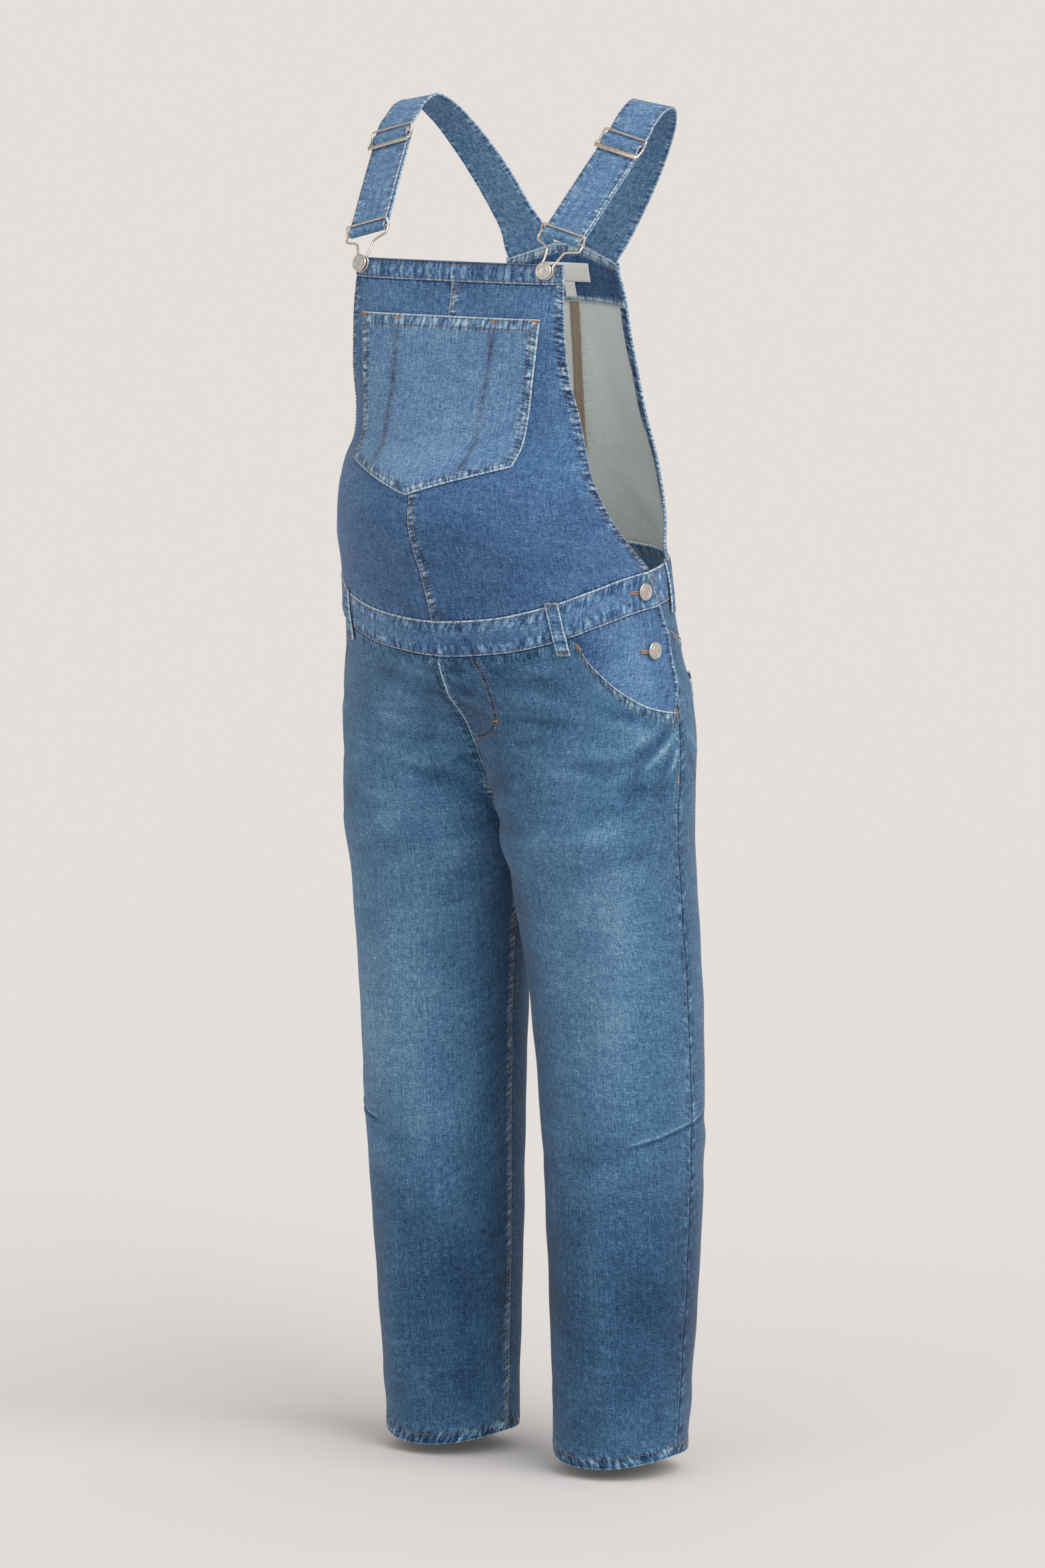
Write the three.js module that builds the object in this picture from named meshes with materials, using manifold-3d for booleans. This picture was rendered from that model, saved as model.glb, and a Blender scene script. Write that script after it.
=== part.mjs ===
// Denim dungarees, filled out as if worn, in millimetres.
// The origin lies between the two shoulder points of the straps. +Z is up, the front faces -Y,
// and the wearer's left side is at +X.
import * as THREE from 'three';
import { mergeVertices } from 'three/addons/utils/BufferGeometryUtils.js';
import Module from 'manifold-3d';

const wasm = await Module();
wasm.setup();

// Driving dimensions
const SEAM_GAP = 0.3;              // pieces stand this far apart at a seam
const HALF_GAP = SEAM_GAP / 2;
const CLOTH = 1.6;                 // denim wall
const THIN_CLOTH = 1.1;            // facing, pocket bearer
const PATCH = 1.5;                 // a patch pocket with its turned edges
const BAND_CLOTH = 2.6;            // doubled waistband and bib band
const BAND_PROUD = 0.8;            // the bands stand this far out of the panels
const LAY_GAP = 0.8;               // a patch lies this far off a curved panel

const BIB_TOP = -150;
const BAND_LINE = -169;            // lower edge of the bib's top band
const WAISTBAND_HEIGHT = 35;
const HEM = -1323;                 // hem at the side seams
const HEM_DIP_FRONT = 11;          // the hem hangs this much lower at the front
const HEM_DIP_BACK = 4;            // and at the back
const SIDE = 90;                   // angle of the side seam, from centre front
const BACK = 180;                  // angle of the centre back

const STRAP_WIDTH = 44;
const STRAP_THICK = 2.2;
const WIRE = 1.15;                 // radius of the buckle and slider wire
const BUTTON_RADIUS = 8.6;

// A table has a row for each section. It gives a value at any place between the rows
// by a smooth curve through them that never overshoots.
function table(columns, rows) {
  const count = columns.length;
  const slopes = rows.map(() => new Array(count).fill(0));
  for (let i = 1; i < rows.length - 1; i += 1) {
    for (let c = 1; c < count; c += 1) {
      const before = (rows[i][c] - rows[i - 1][c]) / (rows[i][0] - rows[i - 1][0]);
      const after = (rows[i + 1][c] - rows[i][c]) / (rows[i + 1][0] - rows[i][0]);
      slopes[i][c] = before * after > 0 ? 2 * before * after / (before + after) : 0;
    }
  }
  return (key) => {
    const rising = rows[1][0] > rows[0][0];
    let i = 0;
    while (i < rows.length - 2 && (rising ? key > rows[i + 1][0] : key < rows[i + 1][0])) i += 1;
    const low = rows[i];
    const high = rows[i + 1];
    const span = high[0] - low[0];
    const k = Math.min(1, Math.max(0, (key - low[0]) / span));
    const values = {};
    columns.forEach((name, c) => {
      const rise = high[c] - low[c];
      const a = slopes[i][c] * span;
      const b = slopes[i + 1][c] * span;
      values[name] = low[c] + k * a + k * k * (3 * rise - 2 * a - b)
        + k * k * k * (a + b - 2 * rise);
    });
    return values;
  };
}

// The front half of the body section at each height, from the bib's top to the crotch.
// armhole is the angle at which the bib's edge is cut.
const FRONT = table(['z', 'halfWidth', 'depth', 'centreY', 'power', 'armhole'], [
  [-138, 133, 48, -94, 4.0, 55.5],
  [-152, 133, 48, -94, 4.0, 56.5],
  [-202, 134, 53, -96, 3.6, 60.5],
  [-249, 137, 66, -90, 3.0, 62.8],
  [-297, 142, 96, -73, 2.3, 66.5],
  [-325, 147, 112, -68, 2.1, 67.5],
  [-345, 154, 133, -67, 2.0, 68.5],
  [-368, 158, 150, -64, 2.0, 71.5],
  [-397, 161, 154, -62, 2.0, 77.0],
  [-428, 166, 148, -57, 2.0, 85.0],
  [-446, 169, 142, -53.5, 2.0, 90.0],
  [-494, 175, 127.5, -50, 2.0, 90.0],
  [-530, 181, 121, -45, 2.0, 90.0],
  [-570, 188, 124, -34, 2.0, 90.0],
  [-631, 191, 121, -30, 2.0, 90.0],
  [-708, 190, 116, -27, 2.0, 90.0],
]);

// The back half. edge is the angle from centre back to the cut armhole edge.
const REAR = table(['z', 'halfWidth', 'depth', 'centreY', 'edge'], [
  [-134, 150, 108, -54, 26.4],
  [-158, 150, 110, -54, 26.4],
  [-199, 152, 118, -52, 28.3],
  [-235, 154, 122, -52, 30.5],
  [-295, 158, 128, -53, 37.0],
  [-350, 162, 134, -53, 46.8],
  [-394, 165, 138, -55, 56.0],
  [-428, 166, 142, -57, 65.0],
  [-446, 169, 141, -53.5, 66.0],
  [-494, 175, 136, -50, 66.0],
  [-530, 181, 132, -45, 66.0],
  [-570, 188, 125, -34, 66.0],
  [-631, 191, 123, -30, 66.0],
  [-708, 190, 116, -27, 66.0],
]);

// Each leg's section, and how far the body has parted into legs (0 body, 1 two legs).
const LEG = table(['z', 'part', 'centreX', 'centreY', 'halfWidth', 'front', 'rear'], [
  [-525, 0.00, 95.5, -34, 95.5, 101, 100],
  [-566, 0.07, 95.5, -34, 95.5, 101, 100],
  [-596, 0.30, 95.5, -34, 95.5, 101, 100],
  [-621, 0.42, 95.5, -34, 95.5, 101, 100],
  [-650, 0.55, 95.0, -34, 95.0, 101, 100],
  [-680, 0.71, 94.5, -34, 94.5, 101, 100],
  [-698, 0.87, 94.2, -32, 94.2, 100, 99],
  [-708, 1.00, 94.0, -31, 94.0, 99, 98],
  [-754, 1.00, 96.0, -24, 91.0, 92, 93],
  [-880, 1.00, 104.0, -12, 84.0, 84, 87],
  [-1012, 1.00, 107.0, -5, 80.0, 79, 80],
  [-1145, 1.00, 105.3, -1, 75.0, 74, 74],
  [-1308, 1.00, 102.0, 0, 67.0, 65.5, 65.5],
  [-1356, 1.00, 101.5, 0, 65.0, 64, 64],
]);

// The waistband's top edge, by angle from centre front.
const WAIST_LINE = table(['angle', 'z'], [
  [0, -494], [20, -489], [43, -475], [60, -461], [77, -450],
  [90, -446], [120, -438], [150, -434.5], [180, -433.5],
]);

// The curved hip pocket opening, by angle from centre front.
const POCKET_LINE = table(['angle', 'z'], [
  [48.5, -512], [53, -533], [63, -561], [76, -577], [90, -583],
]);

// The yoke seam, by angle from centre front.
const YOKE_LINE = table(['angle', 'z'], [
  [90, -501], [110, -512], [135, -529], [160, -546], [180, -556],
]);

const toRadians = THREE.MathUtils.degToRad;
const lerp = THREE.MathUtils.lerp;

// A point of the garment's outer surface on the wearer's left, by height and angle from centre front.
function bodyPoint(z, angle) {
  const isFront = angle <= SIDE;
  const ring = isFront ? FRONT(z) : REAR(z);
  const power = isFront ? ring.power : 2;
  const t = toRadians(angle);
  const across = Math.abs(Math.sin(t)) ** (2 / power);
  const along = Math.abs(Math.cos(t)) ** (2 / power);
  const x = ring.halfWidth * across;
  const y = ring.centreY + (isFront ? -1 : 1) * ring.depth * along;
  const leg = LEG(z);
  if (leg.part === 0) return new THREE.Vector3(x, y, z);
  const turn = toRadians(2 * (isFront ? angle : BACK - angle));
  const legX = leg.centreX - leg.halfWidth * Math.cos(turn);
  const legDepth = isFront ? -leg.front : leg.rear;
  const legY = leg.centreY + legDepth * Math.sin(turn);
  return new THREE.Vector3(lerp(x, legX, leg.part), lerp(y, legY, leg.part), z);
}

// The closed body between an outer and an inner grid of points of the same size.
function solidFromGrids(outer, inner) {
  const rows = outer.length;
  const columns = outer[0].length;
  const positions = [];
  [outer, inner].forEach((grid) => {
    grid.forEach((row) => row.forEach((p) => positions.push(p.x, p.y, p.z)));
  });
  const out = (r, c) => r * columns + c;
  const back = (r, c) => rows * columns + out(r, c);
  const faces = [];
  const quad = (a, b, c, d) => faces.push(a, b, c, a, c, d);
  for (let r = 0; r < rows - 1; r += 1) {
    for (let c = 0; c < columns - 1; c += 1) {
      quad(out(r, c), out(r, c + 1), out(r + 1, c + 1), out(r + 1, c));
      quad(back(r, c), back(r + 1, c), back(r + 1, c + 1), back(r, c + 1));
    }
  }
  for (let c = 0; c < columns - 1; c += 1) {
    quad(out(0, c), back(0, c), back(0, c + 1), out(0, c + 1));
    quad(out(rows - 1, c), out(rows - 1, c + 1), back(rows - 1, c + 1), back(rows - 1, c));
  }
  for (let r = 0; r < rows - 1; r += 1) {
    quad(out(r, 0), out(r + 1, 0), back(r + 1, 0), back(r, 0));
    quad(out(r, columns - 1), back(r, columns - 1), back(r + 1, columns - 1), out(r + 1, columns - 1));
  }
  const geometry = new THREE.BufferGeometry();
  geometry.setAttribute('position', new THREE.Float32BufferAttribute(positions, 3));
  geometry.setIndex(faces);
  return facingOut(geometry);
}

// Six times the signed volume of a closed mesh: negative when its faces point inwards.
function signedVolume(geometry) {
  const position = geometry.getAttribute('position');
  const index = geometry.getIndex().array;
  const corners = [new THREE.Vector3(), new THREE.Vector3(), new THREE.Vector3()];
  let sum = 0;
  for (let i = 0; i < index.length; i += 3) {
    corners.forEach((corner, k) => corner.fromBufferAttribute(position, index[i + k]));
    sum += corners[0].dot(corners[1].clone().cross(corners[2]));
  }
  return sum;
}

function flipFaces(geometry) {
  const index = geometry.getIndex().array;
  for (let i = 0; i < index.length; i += 3) {
    [index[i + 1], index[i + 2]] = [index[i + 2], index[i + 1]];
  }
  return geometry;
}

function facingOut(geometry) {
  return signedVolume(geometry) < 0 ? flipFaces(geometry) : geometry;
}

function mirrored(geometry) {
  const copy = geometry.clone();
  copy.scale(-1, 1, 1);
  return facingOut(copy);
}

function spread(count, from = 0, to = 1) {
  return Array.from({ length: count + 1 }, (_, i) => lerp(from, to, i / count));
}

// The outward normal of a surface given by surfaceAt(u, v), u across and v down.
function surfaceNormal(surfaceAt, u, v) {
  const step = 1e-3;
  const across = surfaceAt(u + step, v).sub(surfaceAt(u - step, v));
  const down = surfaceAt(u, v + step).sub(surfaceAt(u, v - step));
  return down.cross(across).normalize();
}

// A cloth panel: domainAt(u, v) gives {z, angle} on the body, and the wall lies between
// out(u, v) and out(u, v) - thick along the surface's normal.
function clothPanel({ domainAt, columns, rows, thick = CLOTH, out = () => 0, shift = [0, 0] }) {
  const normalAt = (z, angle) => {
    const side = angle <= SIDE ? SIDE : BACK;
    const lowest = angle <= SIDE ? 0 : SIDE + 0.01;
    const nearAngle = THREE.MathUtils.clamp(angle, lowest + 0.05, side - 0.05);
    const at = (u, v) => bodyPoint(z - 500 * v, nearAngle + 40 * u);
    return surfaceNormal(at, 0, 0);
  };
  const outer = [];
  const inner = [];
  rows.forEach((v) => {
    const outerRow = [];
    const innerRow = [];
    columns.forEach((u) => {
      const { z, angle } = domainAt(u, v);
      const point = bodyPoint(z, angle);
      const normal = normalAt(z, angle);
      point.x += shift[0];
      point.y += shift[1];
      const lift = out(u, v);
      outerRow.push(point.clone().addScaledVector(normal, lift));
      innerRow.push(point.clone().addScaledVector(normal, lift - thick));
    });
    outer.push(outerRow);
    inner.push(innerRow);
  });
  return solidFromGrids(outer, inner);
}

// Columns of every front panel, by angle: they turn close together behind the hip pocket.
const FRONT_COLUMNS = [0, 9.7, 19.4, 29.1, 38.8, 48.5, 52, 58, 65, 73, 81.5, 90].map((a) => a / SIDE);
const BACK_COLUMNS = spread(10);

// Half-gap shifts of the left front and left back panels away from their neighbours
const LEFT_FRONT = [HALF_GAP, -HALF_GAP];
const LEFT_BACK = [HALF_GAP, HALF_GAP];

// Bib. Its rows are level down to the belly, so that the pocket's rows can lie on them.
const POCKET_LEVELS = [-225, -249, -273, -297, -321];
const BELLY_LEVELS = [-333, -345, -357, -370, -384, -400];
const BIB_LEVELS = [BAND_LINE - HALF_GAP, -202, ...POCKET_LEVELS, ...BELLY_LEVELS];
const BIB_LOW_ROWS = 3;

function bibHalf() {
  const lastLevel = BIB_LEVELS.length - 1;
  return clothPanel({
    columns: FRONT_COLUMNS,
    rows: spread(lastLevel + BIB_LOW_ROWS, 0, lastLevel + BIB_LOW_ROWS),
    shift: LEFT_FRONT,
    domainAt: (u, row) => {
      const low = WAIST_LINE(SIDE * u).z + HALF_GAP;
      const level = BIB_LEVELS[Math.min(row, lastLevel)];
      const z = lerp(level, low, Math.max(0, row - lastLevel) / BIB_LOW_ROWS);
      return { z, angle: u * FRONT(z).armhole };
    },
  });
}

function bibTopBand() {
  const half = (side) => (u, v) => {
    const z = lerp(BIB_TOP, BAND_LINE + HALF_GAP, v);
    const angle = Math.abs(u) * FRONT(z).armhole;
    const point = bodyPoint(z, angle);
    point.x *= side;
    return point;
  };
  const columns = spread(20, -1, 1);
  const rows = [0, 0.12, 0.5, 1];
  const outer = [];
  const inner = [];
  rows.forEach((v) => {
    const outerRow = [];
    const innerRow = [];
    columns.forEach((u) => {
      const at = half(u < 0 ? -1 : 1);
      const point = at(u, v);
      const span = 0.02;
      const before = half(u - span < 0 ? -1 : 1)(u - span, v);
      const after = half(u + span < 0 ? -1 : 1)(u + span, v);
      const below = at(u, v + 0.05);
      const above = at(u, v - 0.05);
      const normal = below.sub(above).cross(after.sub(before)).normalize().negate();
      if (normal.y > 0) normal.negate();
      const rounding = v === 0 ? 0.5 : 0;
      outerRow.push(point.clone().addScaledVector(normal, BAND_PROUD - rounding));
      innerRow.push(point.clone().addScaledVector(normal, BAND_PROUD - BAND_CLOTH + rounding));
    });
    outer.push(outerRow);
    inner.push(innerRow);
  });
  return solidFromGrids(outer, inner);
}

// The bib pocket, by signed sideways place across the bib.
const POCKET_GAP = 1.3;
const POCKET_TOP = -202;
const POCKET_TOP_HALF = 104;
const POCKET_LOW = -342;
const POCKET_LOW_HALF = 94;
const POCKET_POINT = -370;

function angleAtWidth(z, x) {
  const ring = FRONT(z);
  const share = Math.min(1, Math.abs(x) / ring.halfWidth);
  return THREE.MathUtils.radToDeg(Math.asin(share ** (ring.power / 2)));
}

function bibSurfaceAt(x, z) {
  const point = bodyPoint(z, angleAtWidth(z, x));
  if (x < 0) point.x *= -1;
  return point;
}

function bibPocket() {
  const levels = [POCKET_TOP, ...POCKET_LEVELS];
  const lastLevel = levels.length - 1;
  const rowCount = lastLevel + 4;
  const at = (u, v) => {
    const row = v * rowCount;
    const whole = THREE.MathUtils.clamp(Math.floor(row), 0, lastLevel);
    const next = Math.min(whole + 1, lastLevel);
    const lowEdge = lerp(POCKET_POINT, POCKET_LOW, Math.abs(u));
    const z = row <= lastLevel
      ? lerp(levels[whole], levels[next], row - whole)
      : lerp(levels[lastLevel], lowEdge, (row - lastLevel) / (rowCount - lastLevel));
    const down = (POCKET_TOP - z) / (POCKET_TOP - POCKET_LOW);
    const halfWidth = lerp(POCKET_TOP_HALF, POCKET_LOW_HALF, Math.min(1, down));
    return bibSurfaceAt(u * halfWidth, z);
  };
  const columns = spread(10, -1, 1);
  const rows = spread(rowCount);
  return raisedPatch(at, columns, rows, new THREE.Vector3(0, -1, 0), POCKET_GAP, PATCH);
}

// A patch that lies gap above a surface, with the points of its own walls moved out.
function raisedPatch(at, columns, rows, outward, gap, thick, liftAt = () => 0) {
  const step = 0.02;
  const outer = [];
  const inner = [];
  rows.forEach((v) => {
    const outerRow = [];
    const innerRow = [];
    columns.forEach((u) => {
      const across = at(u + step, v).sub(at(u - step, v));
      const down = at(u, v + step).sub(at(u, v - step));
      const normal = across.cross(down).normalize();
      if (normal.dot(outward) < 0) normal.negate();
      const point = at(u, v);
      const lift = gap + liftAt(u, v);
      outerRow.push(point.clone().addScaledVector(normal, lift + thick));
      innerRow.push(point.clone().addScaledVector(normal, lift));
    });
    outer.push(outerRow);
    inner.push(innerRow);
  });
  return solidFromGrids(outer, inner);
}

// Back bib, peaked at centre back
const PEAK_HALF = 14;
const PEAK_Z = -141;
const CORNER_HALF = 66.7;
const CORNER_Z = -158;
const WAIST_BACK_Z = -436;

function backTopZ(x) {
  const k = THREE.MathUtils.clamp((x - PEAK_HALF) / (CORNER_HALF - PEAK_HALF), 0, 1);
  return lerp(PEAK_Z, CORNER_Z, k);
}

function backDomain(u, v, low) {
  const topZ = backTopZ(u * CORNER_HALF);
  const z = lerp(topZ, low(u), v);
  return { z, angle: BACK - u * REAR(z).edge };
}

function backBibHalf() {
  const bottom = (u) => WAIST_LINE(BACK - u * REAR(WAIST_BACK_Z).edge).z + LAY_GAP;
  return clothPanel({
    columns: [0, PEAK_HALF / CORNER_HALF, ...spread(5, 0.4, 1)],
    rows: spread(9),
    shift: LEFT_BACK,
    domainAt: (u, v) => backDomain(u, v, bottom),
  });
}

const FACING_LOW = -199;

function backFacing() {
  const inset = CLOTH + LAY_GAP;
  const at = (u, v) => {
    const side = Math.abs(u);
    const { z, angle } = backDomain(side, v, () => FACING_LOW - 4 * side ** 2);
    const point = bodyPoint(z, angle);
    if (u < 0) point.x *= -1;
    return point;
  };
  const peak = PEAK_HALF / CORNER_HALF;
  const right = [peak, 0.45, 0.65, 0.83, 0.985];
  const columns = [...right.map((u) => -u).reverse(), 0, ...right];
  const rows = [0.02, 0.35, 0.7, 1];
  return raisedPatch(at, columns, rows, new THREE.Vector3(0, -1, 0), inset, THIN_CLOTH);
}

const LABEL_THICK = 0.5;
const LABEL_SIZE = { halfWidth: 27, top: -160, bottom: -178 };
const TAB_SIZE = { halfWidth: 6.5, top: -178.4, bottom: -194 };

function insideBackPatch(size) {
  const inset = CLOTH + THIN_CLOTH + 2 * LAY_GAP;
  const at = (u, v) => {
    const z = lerp(size.top, size.bottom, v);
    const x = u * size.halfWidth;
    const ring = REAR(z);
    const angle = BACK - THREE.MathUtils.radToDeg(Math.asin(Math.abs(x) / ring.halfWidth));
    const point = bodyPoint(z, angle);
    if (u < 0) point.x *= -1;
    return point;
  };
  return raisedPatch(at, spread(6, -1, 1), spread(2), new THREE.Vector3(0, -1, 0), inset, LABEL_THICK);
}

// Waistband
function waistband(fromAngle, toAngle, columns, shiftSign) {
  return clothPanel({
    columns,
    rows: [0, 0.5, 1],
    thick: BAND_CLOTH,
    out: () => BAND_PROUD,
    domainAt: (u, v) => {
      const angle = lerp(fromAngle, toAngle, u);
      const top = WAIST_LINE(angle).z - HALF_GAP;
      return { z: lerp(top, top - WAISTBAND_HEIGHT, v), angle };
    },
    shift: [0, shiftSign * HALF_GAP],
  });
}

// Joins a left half to its mirror image across X = 0, by shifting the left half onto the plane.
function joinedHalves(leftHalf) {
  const rightHalf = mirrored(leftHalf);
  return fromManifold(toManifold(leftHalf).add(toManifold(rightHalf)));
}

function toManifold(geometry) {
  const bare = geometry.clone();
  bare.deleteAttribute('normal');
  bare.deleteAttribute('uv');
  const merged = mergeVertices(bare, 1e-4);
  const mesh = new wasm.Mesh({
    numProp: 3,
    vertProperties: new Float32Array(merged.getAttribute('position').array),
    triVerts: new Uint32Array(merged.getIndex().array),
  });
  return new wasm.Manifold(mesh);
}

function fromManifold(solid) {
  const mesh = solid.getMesh();
  const geometry = new THREE.BufferGeometry();
  geometry.setAttribute('position', new THREE.BufferAttribute(mesh.vertProperties, 3));
  geometry.setIndex(new THREE.BufferAttribute(mesh.triVerts, 1));
  return geometry;
}

function waistLow(angle) {
  return WAIST_LINE(angle).z - WAISTBAND_HEIGHT - 2 * HALF_GAP;
}

// Trousers
const POCKET_START = 48.5;         // angle at which the hip pocket opening leaves the waistband
const BELOW_POCKET = -632;         // below this height the leg's rows are level
const UPPER_ROWS = 5;

function hemZ(angle) {
  const lobe = Math.sin(toRadians(2 * angle));
  const dip = angle <= SIDE ? HEM_DIP_FRONT : HEM_DIP_BACK;
  return HEM - dip * Math.abs(lobe) ** 1.5;
}

const LEG_ROWS = [-665, -690, -708, -745, -815, -905, -1005, -1110, -1230];

// Rows above the level ones run from the panel's own top edge down to them.
function legDomain(topZ, angle, row) {
  if (row <= UPPER_ROWS) return lerp(topZ, BELOW_POCKET, row / UPPER_ROWS);
  const level = row - UPPER_ROWS - 1;
  return level < LEG_ROWS.length ? LEG_ROWS[level] : hemZ(angle);
}

function legRowCount() {
  return UPPER_ROWS + LEG_ROWS.length + 1;
}

function frontLeg() {
  return clothPanel({
    columns: FRONT_COLUMNS,
    rows: spread(legRowCount(), 0, legRowCount()),
    shift: LEFT_FRONT,
    domainAt: (u, v) => {
      const angle = u * SIDE;
      const topZ = angle <= POCKET_START ? waistLow(angle) : POCKET_LINE(angle).z;
      return { z: legDomain(topZ, angle, v), angle };
    },
  });
}

// The bearer behind the hip pocket opening, lying under the front leg's edge.
const BEARER_UNDERLAP = 12;

function pocketBearer() {
  const under = CLOTH + LAY_GAP;
  const last = SIDE - 0.5;
  return clothPanel({
    columns: [...FRONT_COLUMNS.slice(4, -1), last / SIDE],
    rows: spread(6),
    thick: THIN_CLOTH,
    out: () => -under,
    shift: LEFT_FRONT,
    domainAt: (u, v) => {
      const angle = u * SIDE;
      const low = POCKET_LINE(Math.max(angle, POCKET_START)).z - BEARER_UNDERLAP;
      return { z: lerp(waistLow(angle), low, v), angle };
    },
  });
}

function yoke() {
  return clothPanel({
    columns: BACK_COLUMNS,
    rows: spread(3),
    shift: LEFT_BACK,
    domainAt: (u, v) => {
      const angle = BACK - u * (SIDE - 0.01);
      return { z: lerp(waistLow(angle), YOKE_LINE(angle).z + HALF_GAP, v), angle };
    },
  });
}

function backLeg() {
  return clothPanel({
    columns: BACK_COLUMNS,
    rows: spread(legRowCount(), 0, legRowCount()),
    shift: LEFT_BACK,
    domainAt: (u, v) => {
      const angle = BACK - u * (SIDE - 0.01);
      return { z: legDomain(YOKE_LINE(angle).z - HALF_GAP, angle, v), angle };
    },
  });
}

// Back patch pocket, between two angles on the back leg.
const BACK_POCKET = { inner: 163, outer: 119, top: -556, side: -680, point: -696 };

function backPocket() {
  const at = (u, v) => {
    const middle = 1 - Math.abs(2 * u - 1);
    const low = lerp(BACK_POCKET.side, BACK_POCKET.point, middle);
    const topTilt = 8 * (u - 0.5);
    const z = lerp(BACK_POCKET.top + topTilt, low, v);
    const narrow = 2 * v;
    const angle = lerp(BACK_POCKET.inner - narrow, BACK_POCKET.outer + narrow, u);
    return bodyPoint(z, angle);
  };
  return raisedPatch(at, spread(8), spread(7), new THREE.Vector3(0.3, 1, 0), LAY_GAP, PATCH);
}

// Belt loops
const WAIST_MIDDLE = -470;
const LOOP_WIDTH = 12.5;
const LOOP_ABOVE = 3;
const LOOP_BELOW = 14;
const LOOP_THICK = 1.8;
const LOOP_STAND = 1.2;            // the loop stands off the waistband by this much at its middle
const LOOPS = [
  { name: 'belt_loop_front_left', angle: 44 },
  { name: 'belt_loop_side_left', angle: 106 },
  { name: 'belt_loop_back', angle: 180 },
];

function beltLoop(angle) {
  const ring = bodyPoint(WAIST_LINE(angle).z, angle);
  const radius = Math.hypot(ring.x, ring.y - FRONT(WAIST_MIDDLE).centreY);
  const halfAngle = THREE.MathUtils.radToDeg(LOOP_WIDTH / 2 / radius);
  const base = BAND_PROUD + SEAM_GAP;
  const at = (u, v) => {
    const place = angle + u * halfAngle;
    const top = WAIST_LINE(Math.min(place, BACK)).z + LOOP_ABOVE;
    const bottom = waistLow(Math.min(place, BACK)) - LOOP_BELOW;
    const past = place > BACK;
    const point = bodyPoint(lerp(top, bottom, v), past ? 2 * BACK - place : place);
    if (past) point.x *= -1;
    return point;
  };
  const outward = bodyPoint(WAIST_LINE(angle).z, angle);
  outward.y -= FRONT(WAIST_MIDDLE).centreY;
  outward.z = 0;
  const lift = (u, v) => LOOP_STAND * Math.sin(Math.PI * v);
  return raisedPatch(at, spread(2, -1, 1), spread(6), outward, base, LOOP_THICK, lift);
}

// Straps
// The centre line of the left strap from the back bib over the shoulder to the slider,
// with the direction in which its right side faces.
const STRAP_ROWS = [
  { x: 40.5, y: 49.3, z: -149.2, fx: 0.05, fy: 1, fz: 0.05 },
  { x: 60, y: 50.5, z: -119, fx: 0.06, fy: 1, fz: 0.15 },
  { x: 86, y: 46, z: -77, fx: 0.1, fy: 1, fz: 0.35 },
  { x: 110, y: 34, z: -39, fx: 0.15, fy: 0.85, fz: 0.65 },
  { x: 127, y: 19, z: -13, fx: 0.2, fy: 0.5, fz: 0.9 },
  { x: 136, y: 2, z: -1, fx: 0.2, fy: 0, fz: 1 },
  { x: 138.5, y: -17, z: -5, fx: 0.17, fy: -0.5, fz: 0.85 },
  { x: 138, y: -34, z: -18, fx: 0.15, fy: -0.75, fz: 0.65 },
];
const SLIDER_AT = new THREE.Vector3(136, -52.5, -38);
const BUCKLE_AT = new THREE.Vector3(116, -119, -119);

// The straight front run of the strap: s runs down from the slider, h out of the cloth.
const RUN_DOWN = BUCKLE_AT.clone().sub(SLIDER_AT);
const RUN_LENGTH = RUN_DOWN.length();
RUN_DOWN.normalize();
const RUN_OUT = new THREE.Vector3(0.16, -1, 0.6);
RUN_OUT.addScaledVector(RUN_DOWN, -RUN_OUT.dot(RUN_DOWN)).normalize();
const RUN_ACROSS = RUN_DOWN.clone().cross(RUN_OUT).negate();

function onRun(s, h, w = 0) {
  return SLIDER_AT.clone().addScaledVector(RUN_DOWN, s).addScaledVector(RUN_OUT, h)
    .addScaledVector(RUN_ACROSS, w);
}

const BAR_STEP = 10;               // the slider's outer bars lie this far from its middle bar
const BAR_FRONT = 3.1;             // and this far in front of it
const HUMP = 3.6;                  // the strap's height over the middle bar
const BACK_LAYER = -3.4;           // the returning layer lies behind the front one
const ROLL_DROP = 6.5;             // the strap rolls round a bar this far below the front bar
const ROLL_DEPTH = -1.7;
const ROLL_RADIUS = 2.8;

function strapRunPath() {
  const path = [
    [-16, 0], [-BAR_STEP, -0.3], [-5, 1.4], [-2, HUMP - 0.3], [0, HUMP], [2, HUMP - 0.3], [5, 1.4],
    [BAR_STEP, -0.3], [16, 0], [40, 0.4], [65, 0.5], [88, 0.3], [RUN_LENGTH, 0.6],
  ];
  const rollAt = RUN_LENGTH + ROLL_DROP;
  spread(6, 90, -90).forEach((degrees) => {
    const a = toRadians(degrees);
    path.push([rollAt + ROLL_RADIUS * Math.cos(a), ROLL_DEPTH + ROLL_RADIUS * Math.sin(a)]);
  });
  path.push([RUN_LENGTH - 6, BACK_LAYER - 0.6], [70, BACK_LAYER], [30, BACK_LAYER], [-6, BACK_LAYER]);
  return path;
}

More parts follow.
